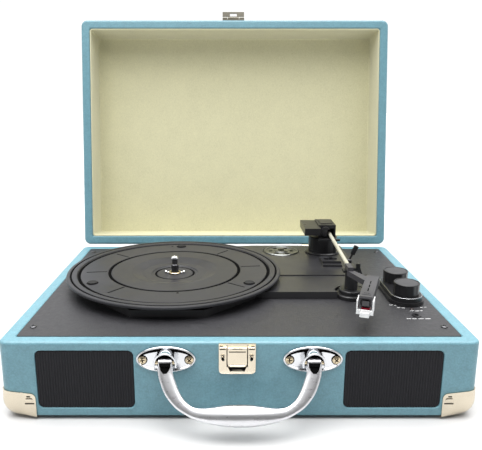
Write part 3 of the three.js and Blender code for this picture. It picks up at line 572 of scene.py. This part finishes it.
def case_body():
    """The covered box: walls and rolled rim, with its windows, socket opening and rounded corners."""
    edge, inner_edge = 2.2, 1.3
    deck_low = RIM - BOARD
    rings = [
        case_ring(RIM_WIDTH, FOOT + BOARD + 0.2),
        case_ring(RIM_WIDTH, FOOT),
        *wrapped_edge(1.2, FOOT + 1.2, 1.2, 270, 180, 3),
        *wrapped_edge(edge, RIM - edge, edge, 180, 90),
        *wrapped_edge(RIM_WIDTH - inner_edge, RIM - inner_edge, inner_edge, 90, 0, 4),
        case_ring(RIM_WIDTH, deck_low - 0.3),
        case_ring(WALL, deck_low - 0.3),
        case_ring(WALL, FOOT + BOARD + 0.2),
    ]
    shell = stack(rings, closed=True)
    low, high = case_box("socket_plate")
    inner = block(low.x + 5, high.x - 5, DEPTH - WALL - 1, DEPTH + 1, low.z + 4, high.z - 4)
    seat = block(low.x - 0.3, high.x + 0.3, DEPTH - 2.2, DEPTH + 1, low.z - 0.3, high.z + 0.3)
    corners = [corner_waste(side_x, side_y) for side_x in (-1, 1) for side_y in (-1, 1)]
    shell = cut(shell, window_cutter("left"), window_cutter("right"), inner, seat, *corners)
    piece("case_body", shell, "leatherette", "case", replaces=["base_shell"], angle=40)


def grille(name):
    """A grille panel covered in cloth that stands in fine upright ribs."""
    low, high = case_box(f"grille_{name}")
    cx, cz = (low.x + high.x) / 2, (low.z + high.z) / 2
    half_w, half_h, r = (high.x - low.x) / 2, (high.z - low.z) / 2, 4.0
    ribs, samples = 36, 6
    bm = bmesh.new()
    columns = []
    count = ribs * samples
    for i in range(count + 1):
        x = -half_w + 2 * half_w * i / count
        past = max(0.0, abs(x) - (half_w - r))
        z = half_h - r + math.sqrt(max(0.0, r * r - past * past))
        rise = abs(math.sin(math.pi * i / samples))
        near = min(1.0, (half_w - abs(x)) / 1.2)
        y = 0.75 - 0.55 * rise * near
        column = [(2.2, -z), (y + 0.5, -z), (y, -z + 0.6), (y, z - 0.6), (y + 0.5, z), (2.2, z)]
        columns.append([bm.verts.new((cx + x, across, cz + up)) for across, up in column])
    for a, b in zip(columns, columns[1:]):
        for k in range(len(a)):
            j = (k + 1) % len(a)
            bm.faces.new((a[k], a[j], b[j], b[k]))
    bm.faces.new(columns[0])
    bm.faces.new(list(reversed(columns[-1])))
    piece(f"grille_cloth_{name}", bm, "cloth", "case", replaces=[f"grille_{name}"], angle=50)


def deck_screws():
    for index, (x, y) in enumerate([(-159.6, 27.6), (159.6, 27.6), (-160.6, 235.7), (160.6, 235.7)]):
        place = CASE @ shift(x, y, RIM) @ Matrix.Rotation(0.4 * index, 4, "Z")
        screw(f"deck_screw_{index + 1}", place, "case", "black_screw", 2.6, 1.3)


def bottom_screws():
    index = 0
    for x in (-155, -52, 52, 155):
        for y in (22, DEPTH - 22):
            index += 1
            place = CASE @ shift(x, y, FOOT) @ turn(180, "X")
            screw(f"bottom_screw_{index}", place, "case", "steel", 2.6, 0.7)


def guard_details():
    """On each face of a corner guard, a pressed loop between two slots near its inner edge; the slots are
    strips of painted shade.
    """
    low, high = case_box("corner_guard_2")
    x, face, top = low.x, low.y, high.z
    swap = Matrix(((0, -1, 0, 0), (-1, 0, 0, 0), (0, 0, 1, 0), (0, 0, 0, 1)))
    to_side = shift(WIDTH / 2) @ swap @ shift(-WIDTH / 2)
    steps = [(0, 0), (0, 0.25), (0.5, 0.6), (1.2, 0.75)]
    outlines = [(rounded(6.4 - 2 * i, 3.8 - 2 * i, 1.9 - i, 6, x + 5.0, top - 7.9), y) for i, y in steps]
    corners = [(side_x, side_y) for side_x in (-1, 1) for side_y in (-1, 1)]
    for index, (side_x, side_y) in enumerate(corners):
        for where in ("front", "side"):
            slots = merged(insert(x + 3.8, x + 6.6, face, top - 5.5, top - 4.4),
                           insert(x + 1.2, x + 8.2, face, top - 11.2, top - 10.2))
            loop = moved(stack(outlines), shift(y=face + 0.1) @ turn(90, "X"))
            for part, kind, look in ((slots, "slots", "dark_gap"), (loop, "loop", "nickel")):
                if where == "side":
                    part.transform(to_side)
                to_corner(part, side_x, side_y)
                piece(f"guard_{kind}_{index + 1}_{where}", part, look, "case", angle=50)


def tube_through(points, r, sides=10):
    """A round bar along a line of points, closed at both ends."""
    line = [Vector(p) for p in points]
    bm = bmesh.new()
    rings = []
    for i, p in enumerate(line):
        along = (line[min(i + 1, len(line) - 1)] - line[max(i - 1, 0)]).normalized()
        side = along.cross(Vector((0, 1, 0))) if abs(along.y) < 0.9 else along.cross(Vector((0, 0, 1)))
        side.normalize()
        up = side.cross(along)
        turns = [2 * math.pi * k / sides for k in range(sides)]
        rings.append([bm.verts.new(p + side * r * math.cos(a) + up * r * math.sin(a)) for a in turns])
    for a, b in zip(rings, rings[1:]):
        bridge(bm, a, b)
    bm.faces.new(list(reversed(rings[0])))
    bm.faces.new(rings[-1])
    return bm


def build_case():
    case_body()
    grille("left")
    grille("right")
    deck_screws()
    bottom_screws()
    guard_details()
    dress("deck", 0.35, "deck_panel")
    dress("fibreboard", 0.3, "bottom_panel")
    dress("rubber", 0.3, *[f"foot_{i}" for i in range(1, 5)])
    dress("nickel", 0.25, *[f"corner_guard_{i}" for i in range(1, 5)])
    dress("speaker", 0, "speaker_left", "speaker_right")
    dress("circuit_board", 0, "amplifier_board", "control_board")
    dress("black_plastic", 0.25, "socket_plate")
    low, high = case_box("socket_plate")
    for index, (offset, look) in enumerate([(-30, "guard_white"), (-14, "stylus_red")]):
        x, z = (low.x + high.x) / 2 + offset, (low.z + high.z) / 2
        collar = lathe([(2.2, 0), (3.6, 0), (3.6, 0.5), (3.3, 0.7), (2.4, 0.7), (2.2, 0.5)], 28)
        place = CASE @ shift(x, high.y, z) @ turn(-90, "X")
        piece(f"socket_collar_{index + 1}", collar, look, "case", place=place)


# ---- latch, handle and brackets -----------------------------------------------------------

def pointed_oval(w, h, steps=10):
    """A long oval that comes to a rounded point at each end, counter-clockwise."""
    points = []
    for k in range(4 * steps):
        a = 2 * math.pi * k / (4 * steps)
        c, s = math.cos(a), math.sin(a)
        x = w / 2 * math.copysign(abs(c) ** 0.84, c)
        z = h / 2 * math.copysign(abs(s) ** 1.04, s) * (1 - 0.06 * abs(c))
        points.append((x, z))
    return points


def bracket(name, body_node):
    """A handle bracket: an oval plate, a hood over the handle's pin, and a screw at each end."""
    low, high = case_box(body_node)
    pin = in_case(joint("handle_swing")["pos_m"])
    cx, cz = (low.x + high.x) / 2, pin.z
    w, h = high.x - low.x, 20.4
    hood_r, hood_inner, mouth_r = 8.4, 7.1, 7.0

    def at_pin(points):
        return [(cx + x, cz + z) for x, z in points]

    steps = [(0, 0.1), (0, 1.1), (0.25, 1.65), (0.8, 1.95), (1.3, 1.8), (1.7, 1.2), (2.0, 0.7), (2.4, 0.6)]
    plate = stack([(pointed_oval(w - 2 * i, h - 2 * i), z) for i, z in steps])
    plate.transform(shift(cx, 0, cz) @ turn(90, "X"))
    piece(f"{name}_plate", plate, "chrome", "case", replaces=[body_node], angle=50)
    outer, inner = pointed_oval(w - 4.2, h - 4.2), pointed_oval(w - 5.4, h - 8.4)
    upper = [k for k in range(len(outer)) if outer[k][1] > 2.2]
    crescent = [outer[k] for k in upper] + [inner[k] for k in reversed(upper)]
    piece(f"{name}_shade", prism(at_pin(crescent), -0.72, -0.5), "dark_gap", "case")
    arch = [(hood_r, -3), *arc(0, 0, hood_r, 0, 180, 20), (-hood_r, -3)]
    hollow = [(-hood_inner, -3), *arc(0, 0, hood_inner, 180, 0, 20), (hood_inner, -3)]
    piece(f"{name}_hood", prism(at_pin(arch + hollow), low.y, -0.5), "chrome", "case", edge_mm=0.35)
    # painted shade in the mouth under the hood
    mouth = [(mouth_r, -5.2), *arc(0, 0, mouth_r, 0, 180, 16), (-mouth_r, -5.2)]
    piece(f"{name}_recess", prism(at_pin(mouth), -1.0, -0.5), "dark_gap", "case")
    rod = lathe([(0, -8), (1.5, -8), (1.5, 8), (0, 8)], 20)
    piece(f"{name}_pin", moved(rod, shift(cx, pin.y, cz) @ turn(90, "Y")), "brass", "case")
    for side, end in BOTH:
        place = CASE @ shift(cx + side * 17.2, -0.7, cz - 0.6) @ turn(90, "X")
        # painted shade: a dark ring round the seat of each screw head
        seat = lathe([(3.0, 0), (3.7, 0), (3.7, 0.15), (3.5, 0.3), (3.0, 0.3)], 32)
        piece(f"{name}_seat_{end}", seat, "dark_gap", "case", place=place)
        place = place @ Matrix.Rotation(0.5 + side * 0.35, 4, "Z")
        screw(f"{name}_screw_{end}", place, "case", "brass", 3.0, 1.5)


def catmull(points, steps):
    """A smooth line through points, with steps between each pair."""
    line = []
    padded = [points[0] * 2 - points[1], *points, points[-1] * 2 - points[-2]]
    for a, b, c, d in zip(padded, padded[1:], padded[2:], padded[3:]):
        for k in range(steps):
            t = k / steps
            square, cube = 2 * a - 5 * b + 4 * c - d, 3 * b - a - 3 * c + d
            line.append(0.5 * (2 * b + (c - a) * t + square * t * t + cube * t ** 3))
    line.append(points[-1])
    return line


def smooth(x, low, high):
    """From 0 at low to 1 at high, without a kink at either end."""
    t = min(1.0, max(0.0, (x - low) / (high - low)))
    return t * t * (3 - 2 * t)


HANDLE_TILT = 33  # degrees out from the case, as drawn
STRAP, NECK, GRIP = (5.4, 2.2), (3.6, 2.2), (7.6, 5.2)  # half widths and half thicknesses


def handle():
    """The bail: a flat strap at each pin that narrows, turns and swells into the grip."""
    half = [(53.9, 0), (53.6, 7), (51.4, 14), (47.6, 22), (41.6, 29.4), (33, 34.6), (23, 36.4), (11, 36.6)]
    points = [Vector((-x, 0, -s)) for x, s in half] + [Vector((x, 0, -s)) for x, s in reversed(half)]
    line = catmull(points, 6)
    lengths = [0.0]
    for a, b in zip(line, line[1:]):
        lengths.append(lengths[-1] + (b - a).length)
    sides = 28
    bm = bmesh.new()
    rings = []
    for i, p in enumerate(line):
        inward = 1 - abs(2 * lengths[i] / lengths[-1] - 1)
        strap = STRAP[0] + (NECK[0] - STRAP[0]) * smooth(inward, 0.2, 0.55)
        grip = smooth(inward, 0.5, 0.95)
        wide, thick = strap + (GRIP[0] - strap) * grip, NECK[1] + (GRIP[1] - NECK[1]) * grip
        along = (line[min(i + 1, len(line) - 1)] - line[max(i - 1, 0)]).normalized()
        across = Vector((along.z, 0, -along.x))
        square = 0.72 + 0.28 * grip
        section = []
        for k in range(sides):
            a = 2 * math.pi * k / sides
            c = math.copysign(abs(math.cos(a)) ** square, math.cos(a))
            s = math.copysign(abs(math.sin(a)) ** square, math.sin(a))
            section.append(bm.verts.new(p + across * wide * c + Vector((0, thick * s, 0))))
        rings.append(section)
    for a, b in zip(rings, rings[1:]):
        bridge(bm, a, b)
    bm.faces.new(list(reversed(rings[0])))
    bm.faces.new(rings[-1])
    bmesh.ops.recalc_face_normals(bm, faces=bm.faces)
    pin = in_case(joint("handle_swing")["pos_m"])
    eyes = []
    hollows = []
    for side in (-1, 1):
        eye = lathe([(0, -5.1), (2.9, -5.1), (3.5, -4.5), (3.5, 4.5), (2.9, 5.1), (0, 5.1)], 32)
        x = side * 53.8
        eyes.append(moved(eye, shift(x) @ turn(90, "Y")))
        # painted shade in the mouth and throat of each eye
        mouth = [(x - 4.4, -0.9), (x - 3.9, -3.3), (x + 3.9, -3.3), (x + 4.4, -0.9)]
        throat = [(x - 3.9, -3.3), (x - 3.0, -6.0), (x - 1.2, -8.2), (x + 1.2, -8.2), (x + 3.0, -6.0),
                  (x + 3.9, -3.3)]
        hollows += [prism(mouth, -3.56, -2.4), prism(throat, -2.32, -1.0)]
    out = CASE @ Matrix.Translation(pin) @ turn(-HANDLE_TILT, "X")
    piece("handle_bar", merged(bm, *eyes), "handle_chrome", "handle", replaces=["handle"],
          place=out, angle=50)
    piece("handle_hollows", merged(*hollows), "dark_gap", "handle", place=out)


def latch_details():
    """Painted shade in the gaps round the latch's tongue, under its rolled top edge, in its nail holes and in
    its opening; the rolled edge itself is metal.
    """
    low, high = case_box("latch_plate")
    tongue_low, tongue_high = case_box("latch_tongue")
    cx, face, top = (low.x + high.x) / 2, low.y, high.z
    nail_z = top - 10.8
    gaps = []
    for side, end in BOTH:
        gap, nail = cx + side * 7.5, cx + side * 10.6
        gaps.append(insert(gap - 0.3, gap + 0.3, face, tongue_low.z + 0.5, top - 1.8, 0.06))
        hole = turned(lathe([(0, -0.06), (1.1, -0.06), (1.1, 0.3), (0, 0.3)], 20), -90, "X")
        gaps.append(moved(hole, shift(nail, face, nail_z)))
        roll = [(nail - 2 * side, face, top - 2.2), (nail + 2 * side, face, top - 2.2)]
        piece(f"latch_roll_{end}", tube_through(roll, 0.5, 12), "nickel", "case")
        gaps.append(insert(nail - 2.2, nail + 2.2, face, top - 3.6, top - 3.0))
        brow = [(x, face, z) for x, z in arc(nail, nail_z, 1.7, 20, 160, 8)]
        piece(f"latch_nail_rim_{end}", tube_through(brow, 0.28, 8), "nickel", "case")
    foot, head = low.z + 3.2, tongue_low.z + 0.4
    opening = [(cx - 4.6, foot), (cx + 4.6, foot), (cx + 6.6, head), (cx - 6.6, head)]
    gaps.append(prism(opening, face - 0.06, face + 0.3))
    for side in (-1, 1):
        corner = [(cx + side * x, z) for x, z in ((7.2, head + 2.2), (7.8, head + 2.2), (5.2, foot - 0.4),
                                                  (4.6, foot - 0.4))]
        gaps.append(prism(corner[::side], face - 0.06, face + 0.3))
    piece("latch_gaps", merged(*gaps), "dark_gap", "case")
    bar = [(cx - 3.6, face - 0.1, low.z + 4.2), (cx + 3.6, face - 0.1, low.z + 4.2)]
    piece("latch_bar", tube_through(bar, 0.35, 8), "nickel", "case")
    front, crest, tip = tongue_low.y, tongue_high.z, tongue_low.z + 1.0
    # painted shade in two creases across the tongue
    lines = [insert(cx - 6.2, cx + 6.2, front, crest - 3.6, crest - 3.1),
             insert(cx - 3.8, cx + 3.8, front, crest - 1.2, crest - 0.5)]
    piece("tongue_lines", merged(*lines), "dark_gap", "latch_tongue")
    lip = [(tongue_low.x + 1.6, front, tip), (tongue_high.x - 1.6, front, tip)]
    piece("tongue_lip", tube_through(lip, 0.7, 12), "nickel", "latch_tongue")


def build_front():
    bracket("bracket_left", "handle_bracket_left")
    bracket("bracket_right", "handle_bracket_right")
    handle()
    latch_details()
    dress("nickel", 0.3, "latch_plate", "latch_tongue")


# ---- the drive ----------------------------------------------------------------------------

HUB_DROP = 4.9  # the platter's sunk middle, below its top
SPOKES = (7, 52, 142, 187, 232, 322)  # angles of the short radial grooves
PINHOLES = ((97, 81.5), (277, 66))  # angle and distance from the centre
PADS = ((90, 80.5), (210, 80.5), (330, 80.5))


def platter():
    """The platter: a sunk hub, a dished middle, and rings and short radial grooves in its face."""
    low, high = case_box("platter")
    at, top = middle("platter"), high.z
    r = (high.x - low.x) / 2
    bore, belt_ring = 4.0, 62.0
    hub_z = top - HUB_DROP
    under = [(r, top - 2.4), (r - 0.5, top - 2.8), (belt_ring, top - 4.2), (belt_ring, top - 10),
             (belt_ring - 2.4, top - 10), (belt_ring - 2.4, top - 4.4), (34, top - 6.2), (12, top - 6.2),
             (12, top - 10), (bore, top - 10)]
    hub = [(bore, top - 5.3), (bore + 0.4, hub_z), (16.9, hub_z), (17.3, top - 5.5), (18.9, top - 5.5),
           (19.3, hub_z), (20.9, hub_z), (21.3, top - 4.7), (21.8, top - 4.1), (22.4, top - 3.9),
           (29.8, top - 3.9)]
    dish = [(31, top - 3.75), (32.5, top - 3.3), (38.5, top - 1.85), (40.2, top - 1.35), (41.5, top - 1.2)]
    groove = [(59.2, top - 1.1), (59.7, top - 1.3), (59.9, top - 2.3), (62.6, top - 2.3), (62.8, top - 1.2),
              (63.2, top - 1)]
    step = [(87.1, top - 1), (87.6, top - 1.2), (87.8, top - 2.3), (90.2, top - 2.3), (90.5, top - 1.2),
            (91.1, top - 0.3)]
    lip = [(92, top - 0.1), (94.9, top), (95.5, top - 0.2), (95.8, top - 1), (97.1, top - 1),
           (97.4, top - 0.2), (97.9, top), (99.3, top - 0.05), (r - 0.4, top - 0.3), (r, top - 0.9)]
    disc = lathe([*hub, *dish, *groove, *step, *lip, *under], 192, at.x, at.y)
    centre = shift(at.x, at.y)
    tools = []
    for angle in SPOKES:
        slot = block(64, 83, -0.8, 0.8, top - 2, top + 1)
        tools.append(moved(turned(slot, angle, "Z"), centre))
    for angle, orbit in PINHOLES:
        drill = [(0, top - 1.9), (0.9, top - 1.9), (0.9, top + 1), (0, top + 1)]
        tools.append(lathe(drill, 16, *around(at, angle, orbit)))
    piece("platter_disc", cut(disc, *tools), "platter", "platter", replaces=["platter"], angle=24)
    platter_shades(at, top)


def platter_shades(at, top):
    """Dark floors in the platter's grooves and holes, and a dark seat round each pad."""
    floors = []
    rings = ((17.35, 18.85, 5.15), (59.95, 62.55, 1.35), (87.85, 90.15, 1.3), (95.85, 97.05, 0.35))
    for inner, outer, drop in rings:
        z = top - drop
        section = [(inner, z - 0.3), (outer, z - 0.3), (outer, z), (inner, z)]
        floors.append(lathe(section, 96, at.x, at.y))
    for angle in SPOKES:
        line = block(64.1, 82.9, -0.75, 0.75, top - 1.6, top - 1.25)
        floors.append(moved(turned(line, angle, "Z"), shift(at.x, at.y)))
    low, high = top - 1.3, top - 0.96
    for angle, orbit in PINHOLES:
        hole = [(0, low), (1.2, low), (1.2, high), (0, high)]
        floors.append(lathe(hole, 16, *around(at, angle, orbit)))
    for angle, orbit in PADS:
        seat = [(4.3, low), (5.2, low), (5.2, high), (4.3, high)]
        floors.append(lathe(seat, 32, *around(at, angle, orbit)))
    piece("platter_groove_shade", merged(*floors), "dark_gap", "platter")


def spindle_clip():
    """The ring that keeps the platter on its spindle, with two bent ears, over a brass washer."""
    at = middle("platter")
    hub = case_box("platter")[1].z - HUB_DROP
    section = [(4.1, hub), (5.4, hub), (5.9, hub + 0.5), (5.9, hub + 1.2), (5.4, hub + 1.6), (4.1, hub + 1.6)]
    piece("spindle_washer", lathe(section, 40, at.x, at.y), "brass", "case")
    bulge = [(0, hub + 0.1), (1.0, hub + 0.4), (1.5, hub + 1.2), (1.3, hub + 2.1), (0.6, hub + 2.6),
             (0, hub + 2.7)]
    ends = []
    for side in (-1, 1):
        x = at.x + side * 8.2
        ear = [(at.x + side * 5.6, at.y, hub + 0.9), (x, at.y, hub + 0.8), (x + side * 0.9, at.y, hub + 1.5)]
        ends += [tube_through(ear, 0.7, 10), lathe(bulge, 20, x + side * 0.4, at.y)]
    piece("spindle_clip", merged(*ends), "chrome", "case")


def spindle():
    """The spindle: a bright rounded tip on a darker shaft; the shaft's dark colour is painted shade."""
    low, high = case_box("spindle")
    at, top = middle("spindle"), high.z
    shaft = [(0, low.z), (3.55, low.z), (3.55, top - 9), (2.7, top - 8.4), (2.6, top - 4.2), (0, top - 4.2)]
    # painted shade: the shaft takes the dark black-oxide colour, the tip stays bright chrome
    piece("spindle_shaft", lathe(shaft, 40, at.x, at.y), "black_screw", "case",
          replaces=["spindle"])
    tip = [(0, top - 4.15), (2.4, top - 4.15), (3.3, top - 3.4), (3.55, top - 2.5), (3.1, top - 1.3),
           (1.9, top - 0.4), (0, top)]
    piece("spindle_tip", lathe(tip, 40, at.x, at.y), "chrome", "case")


def build_drive():
    platter()
    spindle()
    spindle_clip()
    dress("mechanism", 1.3, "mechanism_plate")
    dress("steel", 0.3, "motor", "motor_pulley")
    dress("rubber", 0.0, "drive_belt")
    dress("rubber", 0.2, *[f"platter_pad_{i}" for i in range(1, 4)])
    dress("adapter", 0.3, "adapter_45")


# ---- the tonearm --------------------------------------------------------------------------

def shell_slots():
    """Painted shade for the row of slots along the headshell's top, and for two lines across near its front
    end.
    """
    elbow, nose = (112.6, 67.5), (95.0, 18.5)
    along = math.atan2(elbow[0] - nose[0], elbow[1] - nose[1])
    top = case_box("headshell")[0].z + 8.3
    low, high = top - 0.3, top + 0.05
    lines = [block(-0.45, 0.45, y, y + 6.5, low, high) for y in (13, 22, 31)]
    lines += [block(-3.4, 3.4, 4.2, 4.9, low, high), block(-2.4, 2.4, 7.6, 8.2, low, high)]
    place = CASE @ shift(*nose) @ Matrix.Rotation(-along, 4, "Z")
    piece("headshell_slots", merged(*lines), "dark_gap", "tonearm", place=place)


def build_tonearm():
    shell_slots()
    dress("black_plastic", 0.5, "tonearm_turret", "pivot_head", "arm_rest")
    dress("black_plastic", 0.25, "rest_clip", "cue_lever", "lift_bar", "speed_switch")
    dress("arm_cream", 0.2, "arm_tube")
    dress("shell_grey", 0.45, "headshell")
    dress("shell_grey", 0.3, "cartridge")
    dress("stylus_red", 0.15, "stylus")
    dress("guard_white", 0.2, "stylus_guard")
    dress("mechanism", 0.35, "speed_housing")


# ---- controls -----------------------------------------------------------------------------

FLUTES = 12
FLUTE_STEPS = 12


def fluted(r, depth):
    """A circle with shallow flutes; a depth of 0 leaves it plain."""
    points = []
    count = FLUTES * FLUTE_STEPS
    for k in range(count):
        a = 2 * math.pi * k / count
        hollow = 0.5 + 0.5 * math.cos(2 * math.pi * (k % FLUTE_STEPS) / FLUTE_STEPS)
        radius = r - depth * hollow
        points.append((radius * math.cos(a), radius * math.sin(a)))
    return points


def knob(name):
    """A knob with shallow flutes and a paler top set in a thin raised rim."""
    low, high = case_box(name)
    x, y = (low.x + high.x) / 2, (low.y + high.y) / 2
    base, top = case_box("control_plinth")[1].z + 0.3, high.z
    r = (high.x - low.x) / 2
    rings = [(fluted(2.9, 0), low.z), (fluted(2.9, 0), base), (fluted(r - 0.5, 0), base),
             (fluted(r - 0.3, 0), base + 0.3), (fluted(r - 0.25, 0.35), base + 1.2),
             (fluted(r - 0.1, 0.4), top - 1.6), (fluted(r, 0.15), top - 0.9), (fluted(r - 0.05, 0), top - 0.35),
             (fluted(r - 0.4, 0), top), (fluted(r - 1.0, 0), top), (fluted(r - 1.3, 0), top - 0.4)]
    at = shift(x, y)
    piece(f"{name}_body", moved(stack(rings), at), "black_plastic", name, replaces=[name], angle=40)
    cap = [(0, top - 0.38), (r - 1.5, top - 0.38), (r - 1.5, top - 0.3), (r - 2.2, top - 0.12), (0, top - 0.1)]
    piece(f"{name}_top", moved(lathe(cap, 96), at), "knob_top", name, angle=40)


def plinth_outline(inset):
    """The control plinth's outline, two half circles joined by straight sides, drawn in by inset."""
    low, high = case_box("control_plinth")
    r = (high.x - low.x) / 2 - inset
    x, y0, y1 = (low.x + high.x) / 2, low.y + r + inset, high.y - r - inset
    return arc(x, y0, r, 180, 360, 14) + arc(x, y1, r, 0, 180, 14)


def plinth_trim():
    """The bright line round the plinth's top."""
    top = case_box("control_plinth")[1].z
    steps = [(1.6, top - 0.5), (1.45, top - 0.1), (1.6, top + 0.1), (1.9, top + 0.1), (2.0, top - 0.5)]
    rings = [(plinth_outline(inset), z) for inset, z in steps]
    piece("plinth_trim", stack(rings, closed=True), "chrome", "case", angle=60)


def deck_marks():
    """Plain printed ticks where the controls are labelled; they spell nothing."""
    half_h = 0.45
    marks = [(131.4, 73.6, 3.0), (135.2, 72.6, 2.4), (136.2, 67.4, 2.6), (139.6, 66.6, 2.4), (145.0, 60.2, 3.2),
             (149.2, 60.0, 3.4), (153.0, 60.6, 2.2), (155.4, 68.0, 2.4), (158.8, 68.4, 2.4), (137.2, 43.6, 3.4),
             (141.6, 43.4, 3.6), (147.0, 43.5, 4.2), (152.6, 43.5, 4.4)]
    for index, (x, y, w) in enumerate(marks):
        tick = block(x - w / 2, x + w / 2, y - half_h, y + half_h, RIM - 0.02, RIM + 0.06)
        piece(f"deck_mark_{index + 1}", tick, "print", "case")


def build_controls():
    knob("volume_knob")
    knob("mode_knob")
    plinth_trim()
    deck_marks()
    dress("black_plastic", 0.4, "control_plinth")
    dress("black_plastic", 0.15, "headphone_socket")
    dress("lamp_lens", 0.1, "power_lamp")


# ---- the lid ------------------------------------------------------------------------------

LID_GAP = 0.4  # between the shut lid and the case's rim
LID_WALL = 9.6
LID_HEIGHT = 46.8
LID_BOARD = 4.0  # thickness of the lid's top
LINING_DEPTH = 41.6


def lid_body():
    """The covered lid: a deep tray with rolled edges, drawn shut."""
    low = RIM + LID_GAP
    high = low + LID_HEIGHT
    edge = 2.4
    rings = [
        case_ring(LID_WALL, high - LID_BOARD, 3),
        *wrapped_edge(LID_WALL - 1.3, low + 1.3, 1.3, 0, -90, 4),
        *wrapped_edge(edge, low + edge, edge, 270, 180),
        *wrapped_edge(2.6, high - 2.6, 2.6, 180, 90),
        case_ring(12, high),
    ]
    piece("lid_body", stack(rings), "leatherette", "lid", replaces=["lid_shell"], place=LID, angle=40)


def lid_lining():
    """The cloth inside the lid, with a turned edge at the lid's rim and a rounded inner corner."""
    low = RIM + LID_GAP + 0.5
    floor = RIM + LID_GAP + LINING_DEPTH
    outer = LID_WALL + 0.2
    inner = outer + 1.0
    rings = [
        case_ring(outer, floor + 1, 3),
        case_ring(outer, low + 0.3, 3),
        case_ring(outer + 0.3, low, 3),
        case_ring(inner - 0.2, low + 0.05, 2.8),
        case_ring(inner, low + 0.5, 2.6),
        *[case_ring(x, z, 2.6) for x, z in arc(inner + 2, floor - 2, 2, 180, 90, 5)],
        case_ring(inner + 30, floor, 2.6),
    ]
    piece("lid_cloth", stack(rings), "lining", "lid", replaces=["lid_lining"], place=LID, angle=60)


def lid_metalwork():
    """Hinge leaves with three screws each, and the hasp."""
    leaves = [f"hinge_{half}_leaf_{end}" for half in ("lid", "base") for _, end in BOTH]
    dress("nickel", 0.2, *leaves)
    # painted shade: the hasp and its mount take the darkened nickel
    dress("dull_nickel", 0.25, "hasp_mount", "hasp")
    back = DEPTH + 1.1
    for side, end in BOTH:
        for index, offset in enumerate((-10, 0, 10)):
            x = side * 95 + offset
            for half, body, frame_of, z in (("lid", "lid", LID, RIM + 10), ("base", "case", CASE, RIM - 11)):
                place = frame_of @ shift(x, back, z) @ turn(-90, "X")
                screw(f"hinge_{end}_{half}_screw_{index + 1}", place, body, "nickel", 1.7, 0.5)


def build_lid():
    lid_body()
    lid_lining()
    lid_metalwork()


# ---- floor, light and camera --------------------------------------------------------------

def stage():
    """A pale floor, wide enough to reach past every view."""
    bm = bmesh.new()
    bmesh.ops.create_grid(bm, x_segments=1, y_segments=1, size=6)
    floor = loose_object("floor", bm)
    pale = Look("pale_floor", (0.46, 0.46, 0.46), 0.95, specular_ior_level=0.1)
    floor.data.materials.append(pale.material)


def softbox(name, place, aim, size, watts):
    light = bpy.data.lights.new(name, "AREA")
    light.shape = "RECTANGLE"
    light.size, light.size_y = size
    light.energy = watts
    made = bpy.data.objects.new(name, light)
    bpy.context.scene.collection.objects.link(made)
    made.location = place
    made.rotation_mode = "QUATERNION"
    made.rotation_quaternion = (Vector(aim) - Vector(place)).to_track_quat("-Z", "Y")


# Brightness of the surroundings: a bright ceiling, a white wall behind, paler sides, a dim front.
BACK_WALL, CEILING, SIDE_WALLS, ROOM = 1.06, 7.6, 0.9, 0.2
WALLS = (("Y", -0.3, 0.1, BACK_WALL), ("Z", 0.66, 0.98, CEILING), ("X", 0.55, 0.8, SIDE_WALLS),
         ("X", -0.55, -0.8, SIDE_WALLS))


def lights():
    """Surroundings that shade from wall to wall and look white to the camera, and one softbox."""
    world = bpy.data.worlds.new("studio")
    bpy.context.scene.world = world
    world.use_nodes = True
    nodes, links = world.node_tree.nodes, world.node_tree.links
    split = nodes.new("ShaderNodeSeparateXYZ")
    links.new(nodes.new("ShaderNodeTexCoord").outputs["Generated"], split.inputs["Vector"])
    lit = []
    for axis, low, high, bright in WALLS:
        fade = nodes.new("ShaderNodeMapRange")
        for socket, value in (("From Min", low), ("From Max", high), ("To Min", ROOM), ("To Max", bright)):
            fade.inputs[socket].default_value = value
        links.new(split.outputs[axis], fade.inputs["Value"])
        lit.append(fade.outputs["Result"])
    brightest = nodes.new("ShaderNodeLightPath").outputs["Is Camera Ray"]
    for value in lit:
        brighter = nodes.new("ShaderNodeMath")
        brighter.operation = "MAXIMUM"
        links.new(brightest, brighter.inputs[0])
        links.new(value, brighter.inputs[1])
        brightest = brighter.outputs[0]
    links.new(brightest, nodes["Background"].inputs["Strength"])
    nodes["Background"].inputs["Color"].default_value = (1, 1, 1, 1)
    softbox("key", (-0.1, -0.3, 0.74), (0, 0.13, 0.2), (0.6, 0.35), 2.6)


def camera():
    """The camera, in front of the case and looking down on the deck."""
    before, above, left = 377.92, 178.0, 9.33
    looks_down = 13.41
    cam = bpy.data.cameras.new("camera")
    made = bpy.data.objects.new("camera", cam)
    bpy.context.scene.collection.objects.link(made)
    bpy.context.scene.camera = made
    made.location = CASE @ Vector((-left, -before, RIM + above))
    made.rotation_euler = (math.radians(90 - looks_down), 0, 0)
    cam.lens = 41.9
    cam.sensor_width = 36
    cam.shift_x = 0.0297


build_case()
build_front()
build_drive()
build_tonearm()
build_controls()
build_lid()
stage()
lights()
camera()
bpy.context.scene.view_settings.view_transform = "Standard"

bpy.context.view_layer.update()
